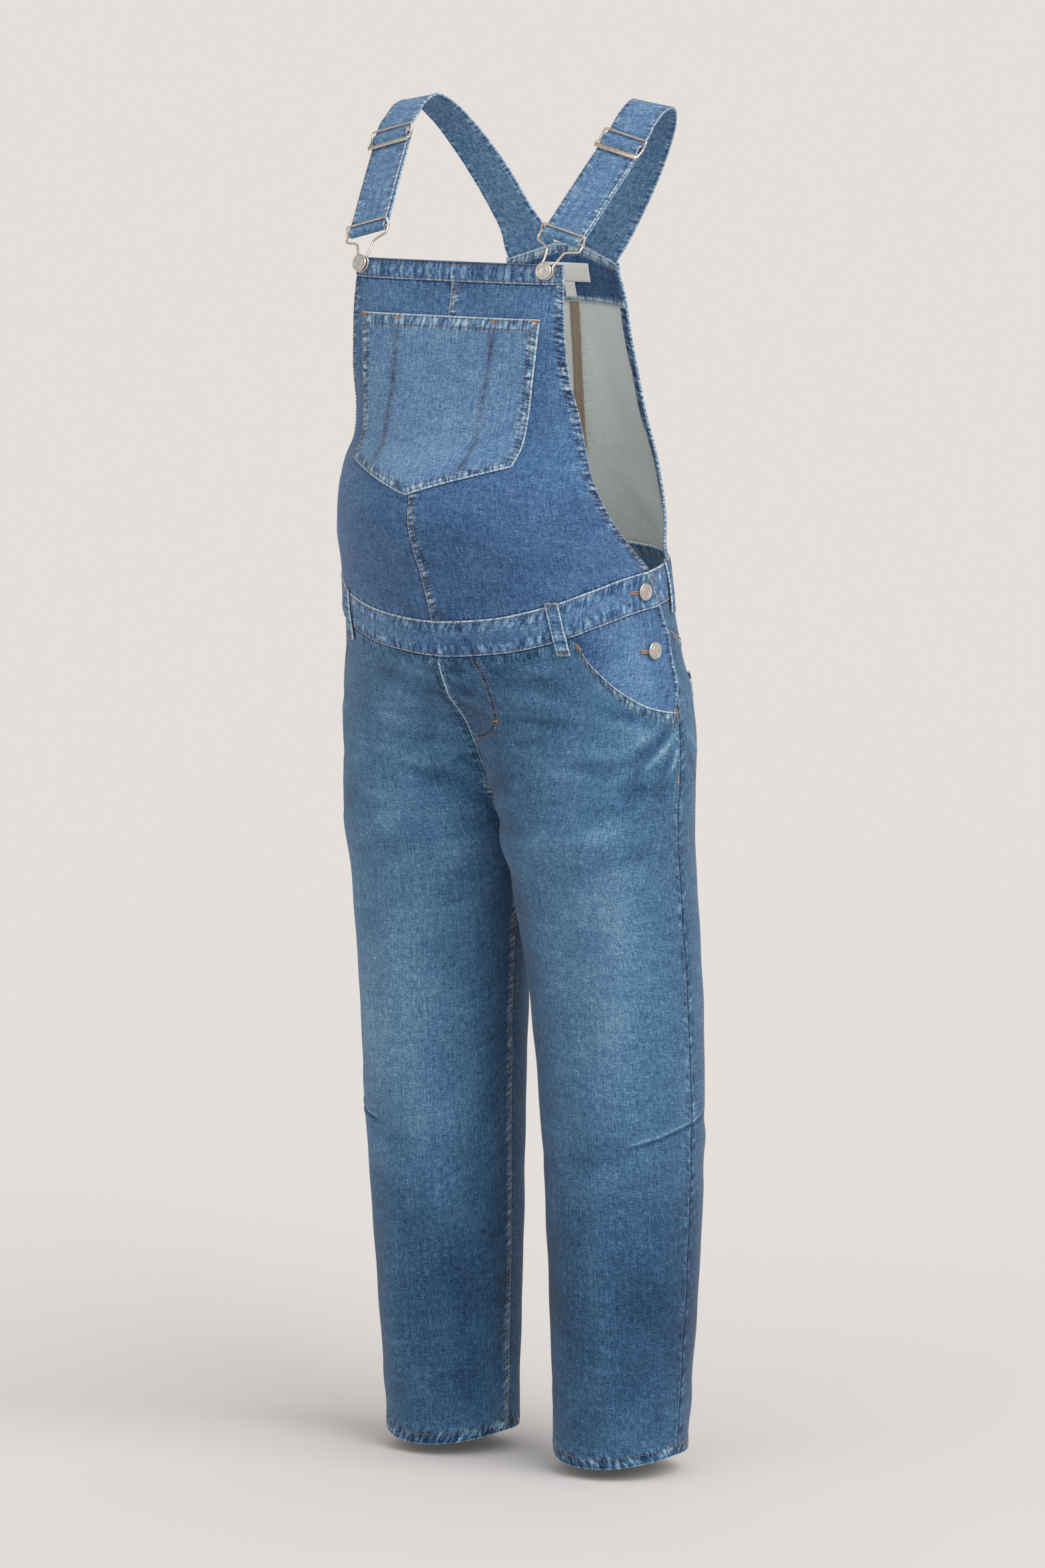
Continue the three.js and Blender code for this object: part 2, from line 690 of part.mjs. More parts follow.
function strapSections() {
  const centres = new THREE.CatmullRomCurve3(
    STRAP_ROWS.map((row) => new THREE.Vector3(row.x, row.y, row.z))
      .concat([onRun(-16, 0), onRun(-8, 0)]), false, 'centripetal',
  );
  const facings = new THREE.CatmullRomCurve3(
    STRAP_ROWS.map((row) => new THREE.Vector3(row.fx, row.fy, row.fz).normalize())
      .concat([RUN_OUT.clone(), RUN_OUT.clone()]), false, 'centripetal',
  );
  const sections = [];
  const rowCount = STRAP_ROWS.length + 1;
  const last = (rowCount - 1) / rowCount;
  const slope = new THREE.Vector3(CORNER_HALF - PEAK_HALF, -11, CORNER_Z - PEAK_Z).normalize();
  spread(22, 0, last - 0.02).forEach((k) => {
    const centre = centres.getPoint(k);
    const tangent = centres.getTangent(k);
    const facing = facings.getPoint(k).normalize();
    const across = facing.clone().cross(tangent).normalize();
    if (across.x < 0) across.negate();
    const base = 1 - THREE.MathUtils.smoothstep(k, 0, 0.13);
    across.lerp(slope, base).normalize();
    const normal = facing.addScaledVector(across, -facing.dot(across)).normalize();
    const width = STRAP_WIDTH + 8 * base;
    sections.push({ centre, across, normal, width });
  });
  const path = strapRunPath();
  path.forEach(([s, h], i) => {
    const before = path[Math.max(0, i - 1)];
    const after = path[Math.min(path.length - 1, i + 1)];
    const ds = after[0] - before[0];
    const dh = after[1] - before[1];
    const length = Math.hypot(ds, dh);
    const normal = RUN_OUT.clone().multiplyScalar(ds / length)
      .addScaledVector(RUN_DOWN, -dh / length);
    sections.push({ centre: onRun(s, h), across: RUN_ACROSS, normal, width: STRAP_WIDTH });
  });
  return sections;
}

function strap() {
  const outer = [];
  const inner = [];
  strapSections().forEach(({ centre, across, normal, width }) => {
    const outerRow = [];
    const innerRow = [];
    [-0.5, 0.5].forEach((side) => {
      const edge = centre.clone().addScaledVector(across, side * width);
      outerRow.push(edge.clone().addScaledVector(normal, STRAP_THICK / 2));
      innerRow.push(edge.clone().addScaledVector(normal, -STRAP_THICK / 2));
    });
    outer.push(outerRow);
    inner.push(innerRow);
  });
  return solidFromGrids(outer, inner);
}

// Metal wire
const WIRE_SIDES = 6;

function rod(from, to, radius) {
  const along = to.clone().sub(from);
  const geometry = new THREE.CylinderGeometry(radius, radius, along.length(), WIRE_SIDES);
  geometry.applyQuaternion(new THREE.Quaternion().setFromUnitVectors(
    new THREE.Vector3(0, 1, 0), along.clone().normalize(),
  ));
  const middle = from.clone().add(to).multiplyScalar(0.5);
  geometry.translate(middle.x, middle.y, middle.z);
  return toManifold(geometry);
}

// A closed loop of wire bent through the points, with a small radius at each corner.
function wireLoop(points, segments) {
  const bends = [];
  points.forEach((point, i) => {
    const before = points[(i + points.length - 1) % points.length];
    const after = points[(i + 1) % points.length];
    const inward = Math.min(2, 0.3 * point.distanceTo(before));
    const onward = Math.min(2, 0.3 * point.distanceTo(after));
    bends.push(point.clone().lerp(before, inward / point.distanceTo(before)));
    bends.push(point.clone().lerp(after, onward / point.distanceTo(after)));
  });
  const curve = new THREE.CatmullRomCurve3(bends, true, 'centripetal');
  return toManifold(new THREE.TubeGeometry(curve, segments, WIRE, WIRE_SIDES, true));
}

function slider() {
  const half = STRAP_WIDTH / 2 + 2.6;
  const at = (w, s, h) => onRun(s, h, w);
  const frame = wireLoop([
    at(half, -BAR_STEP, BAR_FRONT), at(-half, -BAR_STEP, BAR_FRONT), at(-half, 0, 0.8),
    at(-half, BAR_STEP, BAR_FRONT), at(half, BAR_STEP, BAR_FRONT), at(half, 0, 0.8),
  ], 48);
  const middleBar = rod(at(-half, 0, 0.2), at(half, 0, 0.2), WIRE);
  const plate = new THREE.BoxGeometry(2 * half, 4.6, 1.8);
  const basis = new THREE.Matrix4().makeBasis(RUN_ACROSS, RUN_DOWN, RUN_OUT.clone());
  if (basis.determinant() < 0) basis.makeBasis(RUN_ACROSS.clone().negate(), RUN_DOWN, RUN_OUT);
  basis.setPosition(at(0, BAR_STEP, BAR_FRONT + 0.3));
  plate.applyMatrix4(basis);
  return fromManifold(frame.add(middleBar).add(toManifold(plate)));
}

// The bib button stands at this place on the bib, leaning up a little
const BIB_BUTTON = { x: 107.4, z: -157 };
const BUTTON_OUT = new THREE.Vector3(0.12, -1, 0.22).normalize();
const BIB_SHANK = 5.4;
const BASE_LIFT = BAND_PROUD + SEAM_GAP + 1.3;
const RING_LIFT = BASE_LIFT + 3.1;

// The buckle: a front bar, a roll bar, shoulders that step in, a neck and a ring for the button.
const RING_AT = bibSurfaceAt(BIB_BUTTON.x, BIB_BUTTON.z).addScaledVector(BUTTON_OUT, RING_LIFT);
const BUCKLE_DOWN = RING_AT.clone().sub(BUCKLE_AT);
const BUTTON_DROP = BUCKLE_DOWN.length();
BUCKLE_DOWN.normalize();
const RING_DOWN = BUCKLE_DOWN.clone()
  .addScaledVector(BUTTON_OUT, -BUCKLE_DOWN.dot(BUTTON_OUT)).normalize();
const RING_ACROSS = RING_DOWN.clone().cross(BUTTON_OUT).negate();
const RING_RADIUS = 8.2;
const RING_UP = 0.35;               // the strap pulls the ring up against the button's stud
const FRONT_BAR_OUT = 3.1;

function buckle() {
  const half = STRAP_WIDTH / 2 + 3;
  const hang = (w, d, h = 0) => BUCKLE_AT.clone().addScaledVector(RUN_ACROSS, w)
    .addScaledVector(BUCKLE_DOWN, d).addScaledVector(RUN_OUT, h);
  const side = (sign) => [
    onRun(RUN_LENGTH, FRONT_BAR_OUT, sign * half),
    onRun(RUN_LENGTH + ROLL_DROP, ROLL_DEPTH, sign * half),
    hang(sign * half, 15),
    hang(sign * 13, 19),
    hang(sign * 9.5, 21.5),
    hang(sign * 7, BUTTON_DROP - 12),
  ];
  const ring = spread(6, 130, -130).map((degrees) => {
    const a = toRadians(degrees);
    return RING_AT.clone().addScaledVector(RING_ACROSS, RING_RADIUS * Math.sin(a))
      .addScaledVector(RING_DOWN, RING_RADIUS * Math.cos(a) - RING_UP);
  });
  const loop = [...side(1), ...ring, ...side(-1).reverse()];
  const outline = wireLoop(loop, 84);
  const rollBar = rod(side(1)[1], side(-1)[1], WIRE);
  return fromManifold(outline.add(rollBar));
}

// Buttons: a domed cap with two generic rings, on a foot or on a stud that the buckle hooks round
const CAP_THICK = 2.6;
const SIDE_SHANK = 1.2;
const SIDE_FOOT = [[0, 0], [4.6, 0], [4.6, 0.6], [2.4, 0.9], [2.4, SIDE_SHANK]];
const BIB_STUD = [[0, 0], [5.2, 0], [6.2, 0.8], [6.2, 4.4], [3, 4.9], [3, BIB_SHANK]];

function buttonGeometry(foot) {
  const r = BUTTON_RADIUS;
  const shank = foot[foot.length - 1][1];
  const profile = [
    ...foot, [r - 1.2, shank],
    [r, shank + 0.8], [r - 0.1, shank + CAP_THICK - 0.9], [r - 1.1, shank + CAP_THICK - 0.2],
    [r - 2.2, shank + CAP_THICK - 0.2], [r - 3, shank + CAP_THICK - 0.6],
    [3.2, shank + CAP_THICK - 0.5], [2.8, shank + CAP_THICK], [0, shank + CAP_THICK + 0.1],
  ].map(([x, y]) => new THREE.Vector2(x, y));
  return new THREE.LatheGeometry(profile, 14);
}

// Stands a button on the cloth at a point, along a direction.
function placedButton(foot, at, direction) {
  const geometry = buttonGeometry(foot);
  geometry.applyQuaternion(new THREE.Quaternion().setFromUnitVectors(
    new THREE.Vector3(0, 1, 0), direction.clone().normalize(),
  ));
  geometry.translate(at.x, at.y, at.z);
  return facingOut(fromManifold(toManifold(geometry)));
}

function bibButton() {
  const base = bibSurfaceAt(BIB_BUTTON.x, BIB_BUTTON.z).addScaledVector(BUTTON_OUT, BASE_LIFT);
  return placedButton(BIB_STUD, base, BUTTON_OUT);
}

const SIDE_BUTTON_ANGLE = 84;
const SIDE_BUTTONS = [
  { name: 'side_button_upper_left', z: -465, stand: BAND_PROUD },
  { name: 'side_button_lower_left', z: -522, stand: -CLOTH - LAY_GAP },
];

function sideButton(z, stand) {
  const point = bodyPoint(z, SIDE_BUTTON_ANGLE);
  const direction = new THREE.Vector3(1, -0.14, 0.05).normalize();
  point.addScaledVector(direction, stand + SEAM_GAP + 0.5);
  return placedButton(SIDE_FOOT, point, direction);
}

// Materials
function cloth(name, color, roughness = 0.93) {
  return () => new THREE.MeshStandardMaterial({ name, color, roughness, metalness: 0 });
}

const denim = cloth('denim', 0x4f76a3);
const lightDenim = cloth('denim_light', 0x5b82ad);
const labelCloth = cloth('label', 0xdcdcd6, 0.85);

function metal(name, color) {
  return () => new THREE.MeshStandardMaterial({ name, color, roughness: 0.32, metalness: 1 });
}

const wireMetal = metal('wire', 0xc9b8a6);
const buttonMetal = metal('button', 0xb9b4ac);

const dungarees = new THREE.Group();
dungarees.name = 'denim_dungarees';

function add(name, geometry, material) {
  const mesh = new THREE.Mesh(geometry, material());
  mesh.name = name;
  dungarees.add(mesh);
}

// Adds a left piece and its mirror image on the wearer's right.
function addPair(name, geometry, material) {
  add(`${name}_left`, geometry, material);
  add(`${name}_right`, mirrored(geometry), material);
}

addPair('bib_front', bibHalf(), denim);
add('bib_top_band', bibTopBand(), denim);
add('bib_pocket', bibPocket(), lightDenim);
addPair('back_bib', backBibHalf(), denim);
add('back_facing', backFacing(), denim);
add('label', insideBackPatch(LABEL_SIZE), labelCloth);
add('label_tab', insideBackPatch(TAB_SIZE), labelCloth);
add('waistband_front', joinedHalves(waistband(0, SIDE, FRONT_COLUMNS, -1)), denim);
add('waistband_back', joinedHalves(waistband(BACK, SIDE + 0.01, BACK_COLUMNS, 1)), denim);
addPair('leg_front', frontLeg(), denim);
addPair('leg_back', backLeg(), denim);
addPair('yoke', yoke(), denim);
addPair('pocket_bearer', pocketBearer(), denim);
addPair('back_pocket', backPocket(), lightDenim);
LOOPS.forEach(({ name, angle }) => {
  const geometry = beltLoop(angle);
  add(name, geometry, denim);
  if (angle < BACK) add(name.replace('left', 'right'), mirrored(geometry), denim);
});
addPair('strap', strap(), denim);
addPair('slider', slider(), wireMetal);
addPair('buckle', buckle(), wireMetal);
addPair('bib_button', bibButton(), buttonMetal);
SIDE_BUTTONS.forEach(({ name, z, stand }) => {
  const geometry = sideButton(z, stand);
  add(name, geometry, buttonMetal);
  add(name.replace('left', 'right'), mirrored(geometry), buttonMetal);
});

export default dungarees;
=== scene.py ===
import math

import bpy
import numpy as np
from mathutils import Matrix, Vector


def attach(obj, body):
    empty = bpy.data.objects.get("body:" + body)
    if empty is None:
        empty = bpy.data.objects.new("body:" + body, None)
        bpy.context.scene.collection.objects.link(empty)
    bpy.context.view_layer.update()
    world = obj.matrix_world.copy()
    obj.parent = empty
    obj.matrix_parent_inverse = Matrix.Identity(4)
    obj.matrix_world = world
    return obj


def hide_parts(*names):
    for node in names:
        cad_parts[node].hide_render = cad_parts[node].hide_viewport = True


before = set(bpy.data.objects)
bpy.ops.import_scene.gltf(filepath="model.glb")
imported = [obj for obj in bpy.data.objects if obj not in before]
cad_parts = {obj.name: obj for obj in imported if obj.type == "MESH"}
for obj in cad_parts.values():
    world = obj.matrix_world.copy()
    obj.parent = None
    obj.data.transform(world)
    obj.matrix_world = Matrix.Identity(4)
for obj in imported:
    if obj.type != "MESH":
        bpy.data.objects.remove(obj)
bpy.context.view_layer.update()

MM = 0.001
SIDE = 90.0
BACK = 180.0
SIDES = ((1, "left"), (-1, "right"))
MM_PER_DEGREE = 2.9                # round the hips and the legs alike

CLOTH = 1.6
THIN_CLOTH = 1.1
PATCH = 1.5
BAND_CLOTH = 2.6
BAND_PROUD = 0.8
LAY_GAP = 0.8
SEAM_GAP = 0.3

BIB_TOP = -150.0
BAND_LINE = -169.0
WAISTBAND_HEIGHT = 35.0
HEM = -1323.0
HEM_DIP_FRONT = 11.0
HEM_DIP_BACK = 4.0
HEM_HEIGHT = 11.5

STRAP_WIDTH = 44.0
STRAP_THICK = 2.2
WIRE = 1.15
BUTTON_RADIUS = 8.6


# Shape of the body

def curve_table(rows):
    """A smooth curve through the rows that never overshoots: the first column is the key."""
    rows = np.array(sorted(rows), float)
    keys, values = rows[:, 0], rows[:, 1:]
    steps = np.diff(values, axis=0) / np.diff(keys)[:, None]
    product = steps[:-1] * steps[1:]
    both = steps[:-1] + steps[1:]
    slopes = np.zeros_like(values)
    slopes[1:-1] = np.where(product > 0, 2 * product / np.where(both == 0, 1, both), 0)

    def at(key):
        key = np.asarray(key, float)
        i = np.clip(np.searchsorted(keys, key, side="right") - 1, 0, len(keys) - 2)
        span = (keys[i + 1] - keys[i])[..., None]
        k = np.clip((key - keys[i])[..., None] / span, 0, 1)
        rise = values[i + 1] - values[i]
        a, b = slopes[i] * span, slopes[i + 1] * span
        return values[i] + k * a + k * k * (3 * rise - 2 * a - b) + k**3 * (a + b - 2 * rise)

    return at


# z, half width, depth, centre y, power, armhole angle
FRONT = curve_table([
    (-138, 133, 48, -94, 4.0, 55.5),
    (-152, 133, 48, -94, 4.0, 56.5),
    (-202, 134, 53, -96, 3.6, 60.5),
    (-249, 137, 66, -90, 3.0, 62.8),
    (-297, 142, 96, -73, 2.3, 66.5),
    (-325, 147, 112, -68, 2.1, 67.5),
    (-345, 154, 133, -67, 2.0, 68.5),
    (-368, 158, 150, -64, 2.0, 71.5),
    (-397, 161, 154, -62, 2.0, 77.0),
    (-428, 166, 148, -57, 2.0, 85.0),
    (-446, 169, 142, -53.5, 2.0, 90.0),
    (-494, 175, 127.5, -50, 2.0, 90.0),
    (-530, 181, 121, -45, 2.0, 90.0),
    (-570, 188, 124, -34, 2.0, 90.0),
    (-631, 191, 121, -30, 2.0, 90.0),
    (-708, 190, 116, -27, 2.0, 90.0),
])

# z, half width, depth, centre y, angle from centre back to the armhole's edge
REAR = curve_table([
    (-134, 150, 108, -54, 26.4),
    (-158, 150, 110, -54, 26.4),
    (-199, 152, 118, -52, 28.3),
    (-235, 154, 122, -52, 30.5),
    (-295, 158, 128, -53, 37.0),
    (-350, 162, 134, -53, 46.8),
    (-394, 165, 138, -55, 56.0),
    (-428, 166, 142, -57, 65.0),
    (-446, 169, 141, -53.5, 66.0),
    (-494, 175, 136, -50, 66.0),
    (-530, 181, 132, -45, 66.0),
    (-570, 188, 125, -34, 66.0),
    (-631, 191, 123, -30, 66.0),
    (-708, 190, 116, -27, 66.0),
])

# z, share parted into legs, centre x, centre y, half width, front depth, rear depth
LEG = curve_table([
    (-525, 0.00, 95.5, -34, 95.5, 101, 100),
    (-566, 0.07, 95.5, -34, 95.5, 101, 100),
    (-596, 0.30, 95.5, -34, 95.5, 101, 100),
    (-621, 0.42, 95.5, -34, 95.5, 101, 100),
    (-650, 0.55, 95.0, -34, 95.0, 101, 100),
    (-680, 0.71, 94.5, -34, 94.5, 101, 100),
    (-698, 0.87, 94.2, -32, 94.2, 100, 99),
    (-708, 1.00, 94.0, -31, 94.0, 99, 98),
    (-754, 1.00, 96.0, -24, 91.0, 92, 93),
    (-880, 1.00, 104.0, -12, 84.0, 84, 87),
    (-1012, 1.00, 107.0, -5, 80.0, 79, 80),
    (-1145, 1.00, 105.3, -1, 75.0, 74, 74),
    (-1308, 1.00, 102.0, 0, 67.0, 65.5, 65.5),
    (-1356, 1.00, 101.5, 0, 65.0, 64, 64),
])

# Heights by angle: the waistband's top edge, the hip pocket opening and the yoke seam
WAIST_LINE = curve_table([
    (0, -494), (20, -489), (43, -475), (60, -461), (77, -450),
    (90, -446), (120, -438), (150, -434.5), (180, -433.5),
])
POCKET_START = 48.5
POCKET_LINE = curve_table([(48.5, -512), (53, -533), (63, -561), (76, -577), (90, -583)])
YOKE_LINE = curve_table([(90, -501), (110, -512), (135, -529), (160, -546), (180, -556)])


def waist_top(angle):
    return WAIST_LINE(np.abs(angle))[..., 0]


def waist_low(angle):
    return waist_top(angle) - WAISTBAND_HEIGHT - SEAM_GAP


def hem_z(angle):
    turn = np.abs(angle)
    dip = np.where(turn <= SIDE, HEM_DIP_FRONT, HEM_DIP_BACK)
    return HEM - dip * np.abs(np.sin(np.radians(2 * turn))) ** 1.5


def body(z, angle):
    """Points of the garment's outer surface."""
    z, angle = np.broadcast_arrays(np.asarray(z, float), np.asarray(angle, float))
    turn = np.abs(angle)
    front = turn <= SIDE
    fore, rear, leg = FRONT(z), REAR(z), LEG(z)
    width = np.where(front, fore[..., 0], rear[..., 0])
    depth = np.where(front, -fore[..., 1], rear[..., 1])
    middle = np.where(front, fore[..., 2], rear[..., 2])
    power = np.where(front, fore[..., 3], 2.0)
    t = np.radians(turn)
    x = width * np.abs(np.sin(t)) ** (2 / power)
    y = middle + depth * np.abs(np.cos(t)) ** (2 / power)
    round_leg = np.radians(2 * np.where(front, turn, BACK - turn))
    part, leg_x0, leg_y0, leg_width, leg_front, leg_rear = np.moveaxis(leg, -1, 0)
    leg_x = leg_x0 - leg_width * np.cos(round_leg)
    leg_y = leg_y0 + np.where(front, -leg_front, leg_rear) * np.sin(round_leg)
    x = x + (leg_x - x) * part
    y = y + (leg_y - y) * part
    return np.stack([np.where(np.signbit(angle), -x, x), y, z], axis=-1)


def unit(v):
    return v / np.maximum(np.linalg.norm(v, axis=-1, keepdims=True), 1e-12)


def body_normal(z, angle):
    z, angle = np.broadcast_arrays(np.asarray(z, float), np.asarray(angle, float))
    turn = np.abs(angle)
    low = np.where(turn <= SIDE, 0.05, SIDE + 0.06)
    high = np.where(turn <= SIDE, SIDE - 0.05, BACK - 0.05)
    near = np.clip(turn, low, high)
    across = body(z, near + 0.04) - body(z, near - 0.04)
    down = body(z - 0.5, near) - body(z + 0.5, near)
    normal = unit(np.cross(down, across))
    normal[..., 0] *= np.where(np.signbit(angle), -1, 1)
    return normal


def smooth(low, high, value):
    k = np.clip((value - low) / (high - low), 0, 1)
    return k * k * (3 - 2 * k)


# Creases, wash and painted shade.
# A crease runs from one place to another on the body and is a soft trough or ridge:
# angle and z of one end, angle and z of the other, width, height out of the cloth.
CREASES = [
    # drag from under the left hip pocket
    (84, -600, 66, -660, 9, -2.2), (88, -606, 74, -678, 8, 1.8), (80, -596, 58, -628, 8, 1.4),
    (86, -640, 70, -705, 10, -1.6), (88, -560, 80, -590, 6, -1.0),
    # and the right one
    (-83, -602, -64, -655, 9, -2.0), (-88, -612, -72, -690, 9, 1.6), (-86, -650, -66, -700, 10, -1.4),
    # fans from the crotch
    (4, -676, 24, -640, 9, -2.2), (6, -686, 34, -668, 10, 1.8), (5, -694, 40, -700, 10, -1.8),
    (7, -706, 36, -742, 12, 1.6), (10, -716, 30, -790, 14, -1.5), (-4, -678, -22, -646, 9, -2.0),
    (-6, -690, -36, -672, 10, 1.8), (-5, -698, -38, -712, 10, -1.6), (-8, -712, -32, -752, 12, 1.5),
    (-12, -724, -30, -800, 14, -1.4),
    # whiskers over the thighs
    (28, -650, 60, -640, 7, 0.8), (26, -676, 62, -668, 7, -0.7), (30, -706, 64, -704, 8, 0.7),
    (32, -738, 60, -744, 9, -0.7), (-28, -655, -58, -645, 7, 0.8), (-30, -684, -62, -676, 8, -0.7),
    (-30, -716, -60, -716, 8, 0.7),
    # front below the waistband
    (12, -548, 34, -556, 9, -0.9), (16, -574, 42, -584, 10, 0.9), (-10, -552, -36, -560, 9, -0.9),
    (-14, -580, -40, -588, 10, 0.8), (2, -560, 10, -612, 8, -1.0), (-3, -570, -14, -622, 8, 0.9),
    # knees
    (64, -1012, 40, -1032, 12, -1.8), (68, -1030, 44, -1062, 12, 1.4), (20, -990, 44, -1004, 13, 1.4),
    (14, -1024, 38, -1046, 13, -1.5), (-62, -1010, -40, -1034, 12, -1.8),
    (-66, -1034, -42, -1066, 12, 1.4), (-18, -996, -42, -1010, 13, 1.3),
    (-12, -1030, -36, -1052, 13, -1.4), (78, -960, 58, -990, 12, 1.0), (-78, -964, -58, -994, 12, 1.0),
    # long soft folds down the legs
    (70, -700, 60, -960, 20, 2.2), (26, -780, 30, -1000, 22, -1.8), (50, -1080, 56, -1290, 18, 1.8),
    (24, -1120, 20, -1300, 16, -1.6), (-68, -720, -58, -970, 20, 2.0),
    (-26, -790, -30, -1010, 22, -1.8), (-52, -1090, -58, -1290, 18, 1.8),
    (-22, -1110, -20, -1300, 16, -1.6),
    # short drags above the hems
    (20, -1296, 27, -1266, 7, -1.1), (34, -1300, 42, -1262, 7, 1.0), (50, -1298, 54, -1258, 7, -1.2),
    (64, -1292, 70, -1256, 7, 1.0), (78, -1294, 76, -1262, 6, -1.0), (10, -1290, 14, -1262, 6, 0.9),
    (-18, -1294, -24, -1262, 7, -1.1), (-36, -1300, -44, -1260, 7, 1.0),
    (-54, -1298, -50, -1256, 7, -1.1), (-70, -1292, -76, -1258, 7, 1.0),
    (110, -1296, 104, -1260, 7, 1.1), (130, -1296, 136, -1256, 7, -1.2),
    (152, -1294, 148, -1258, 7, 1.0), (-112, -1294, -106, -1258, 7, 1.1),
    (-134, -1296, -140, -1258, 7, -1.1), (-156, -1294, -150, -1260, 7, 1.0),
    # bib, beside and under the pocket
    (52, -300, 62, -352, 9, 1.0), (56, -352, 70, -408, 9, -1.1), (40, -396, 68, -424, 10, 0.9),
    (30, -440, 62, -436, 10, -0.8), (-52, -304, -62, -356, 9, 1.0), (-54, -356, -68, -410, 9, -1.0),
    (-36, -402, -66, -428, 10, 0.9), (-20, -444, -50, -446, 10, -0.8), (10, -420, 30, -452, 10, 0.7),
    (-8, -424, -26, -456, 10, -0.7), (44, -184, 52, -214, 7, 0.9), (-44, -186, -52, -216, 7, -0.9),
    # back bib
    (172, -230, 160, -330, 14, 1.6), (166, -360, 132, -420, 13, -1.8), (176, -300, 170, -410, 13, -1.3),
    (150, -340, 124, -418, 12, 1.6), (-172, -236, -158, -336, 14, 1.5),
    (-164, -366, -130, -422, 13, -1.8), (-176, -310, -168, -414, 13, 1.2),
    (-150, -344, -126, -420, 12, 1.5),
    # seat and the backs of the thighs
    (176, -640, 140, -700, 13, -2.2), (172, -676, 130, -726, 13, 2.0), (170, -712, 128, -760, 13, -2.0),
    (166, -760, 128, -820, 15, 1.6), (-176, -644, -140, -704, 13, -2.1),
    (-172, -680, -132, -730, 13, 2.0), (-170, -716, -128, -766, 13, -1.9),
    (-166, -764, -126, -826, 15, 1.6), (112, -600, 98, -680, 11, 1.3), (-112, -606, -98, -684, 11, 1.3),
    # backs of the knees and calves
    (104, -990, 140, -1004, 10, -2.2), (106, -1012, 146, -1020, 10, 2.0),
    (110, -1036, 150, -1034, 10, -2.0), (108, -1062, 140, -1054, 11, 1.5),
    (-104, -992, -142, -1008, 10, -2.1), (-106, -1016, -146, -1024, 10, 1.9),
    (-110, -1040, -150, -1038, 10, -1.9), (-108, -1066, -142, -1058, 11, 1.5),
    (120, -1100, 126, -1280, 18, 1.8), (150, -1110, 156, -1290, 16, -1.5),
    (-122, -1104, -128, -1284, 18, 1.8), (-152, -1110, -158, -1290, 16, -1.5),
    (124, -860, 118, -980, 18, -1.6), (-124, -866, -118, -984, 18, -1.6),
]
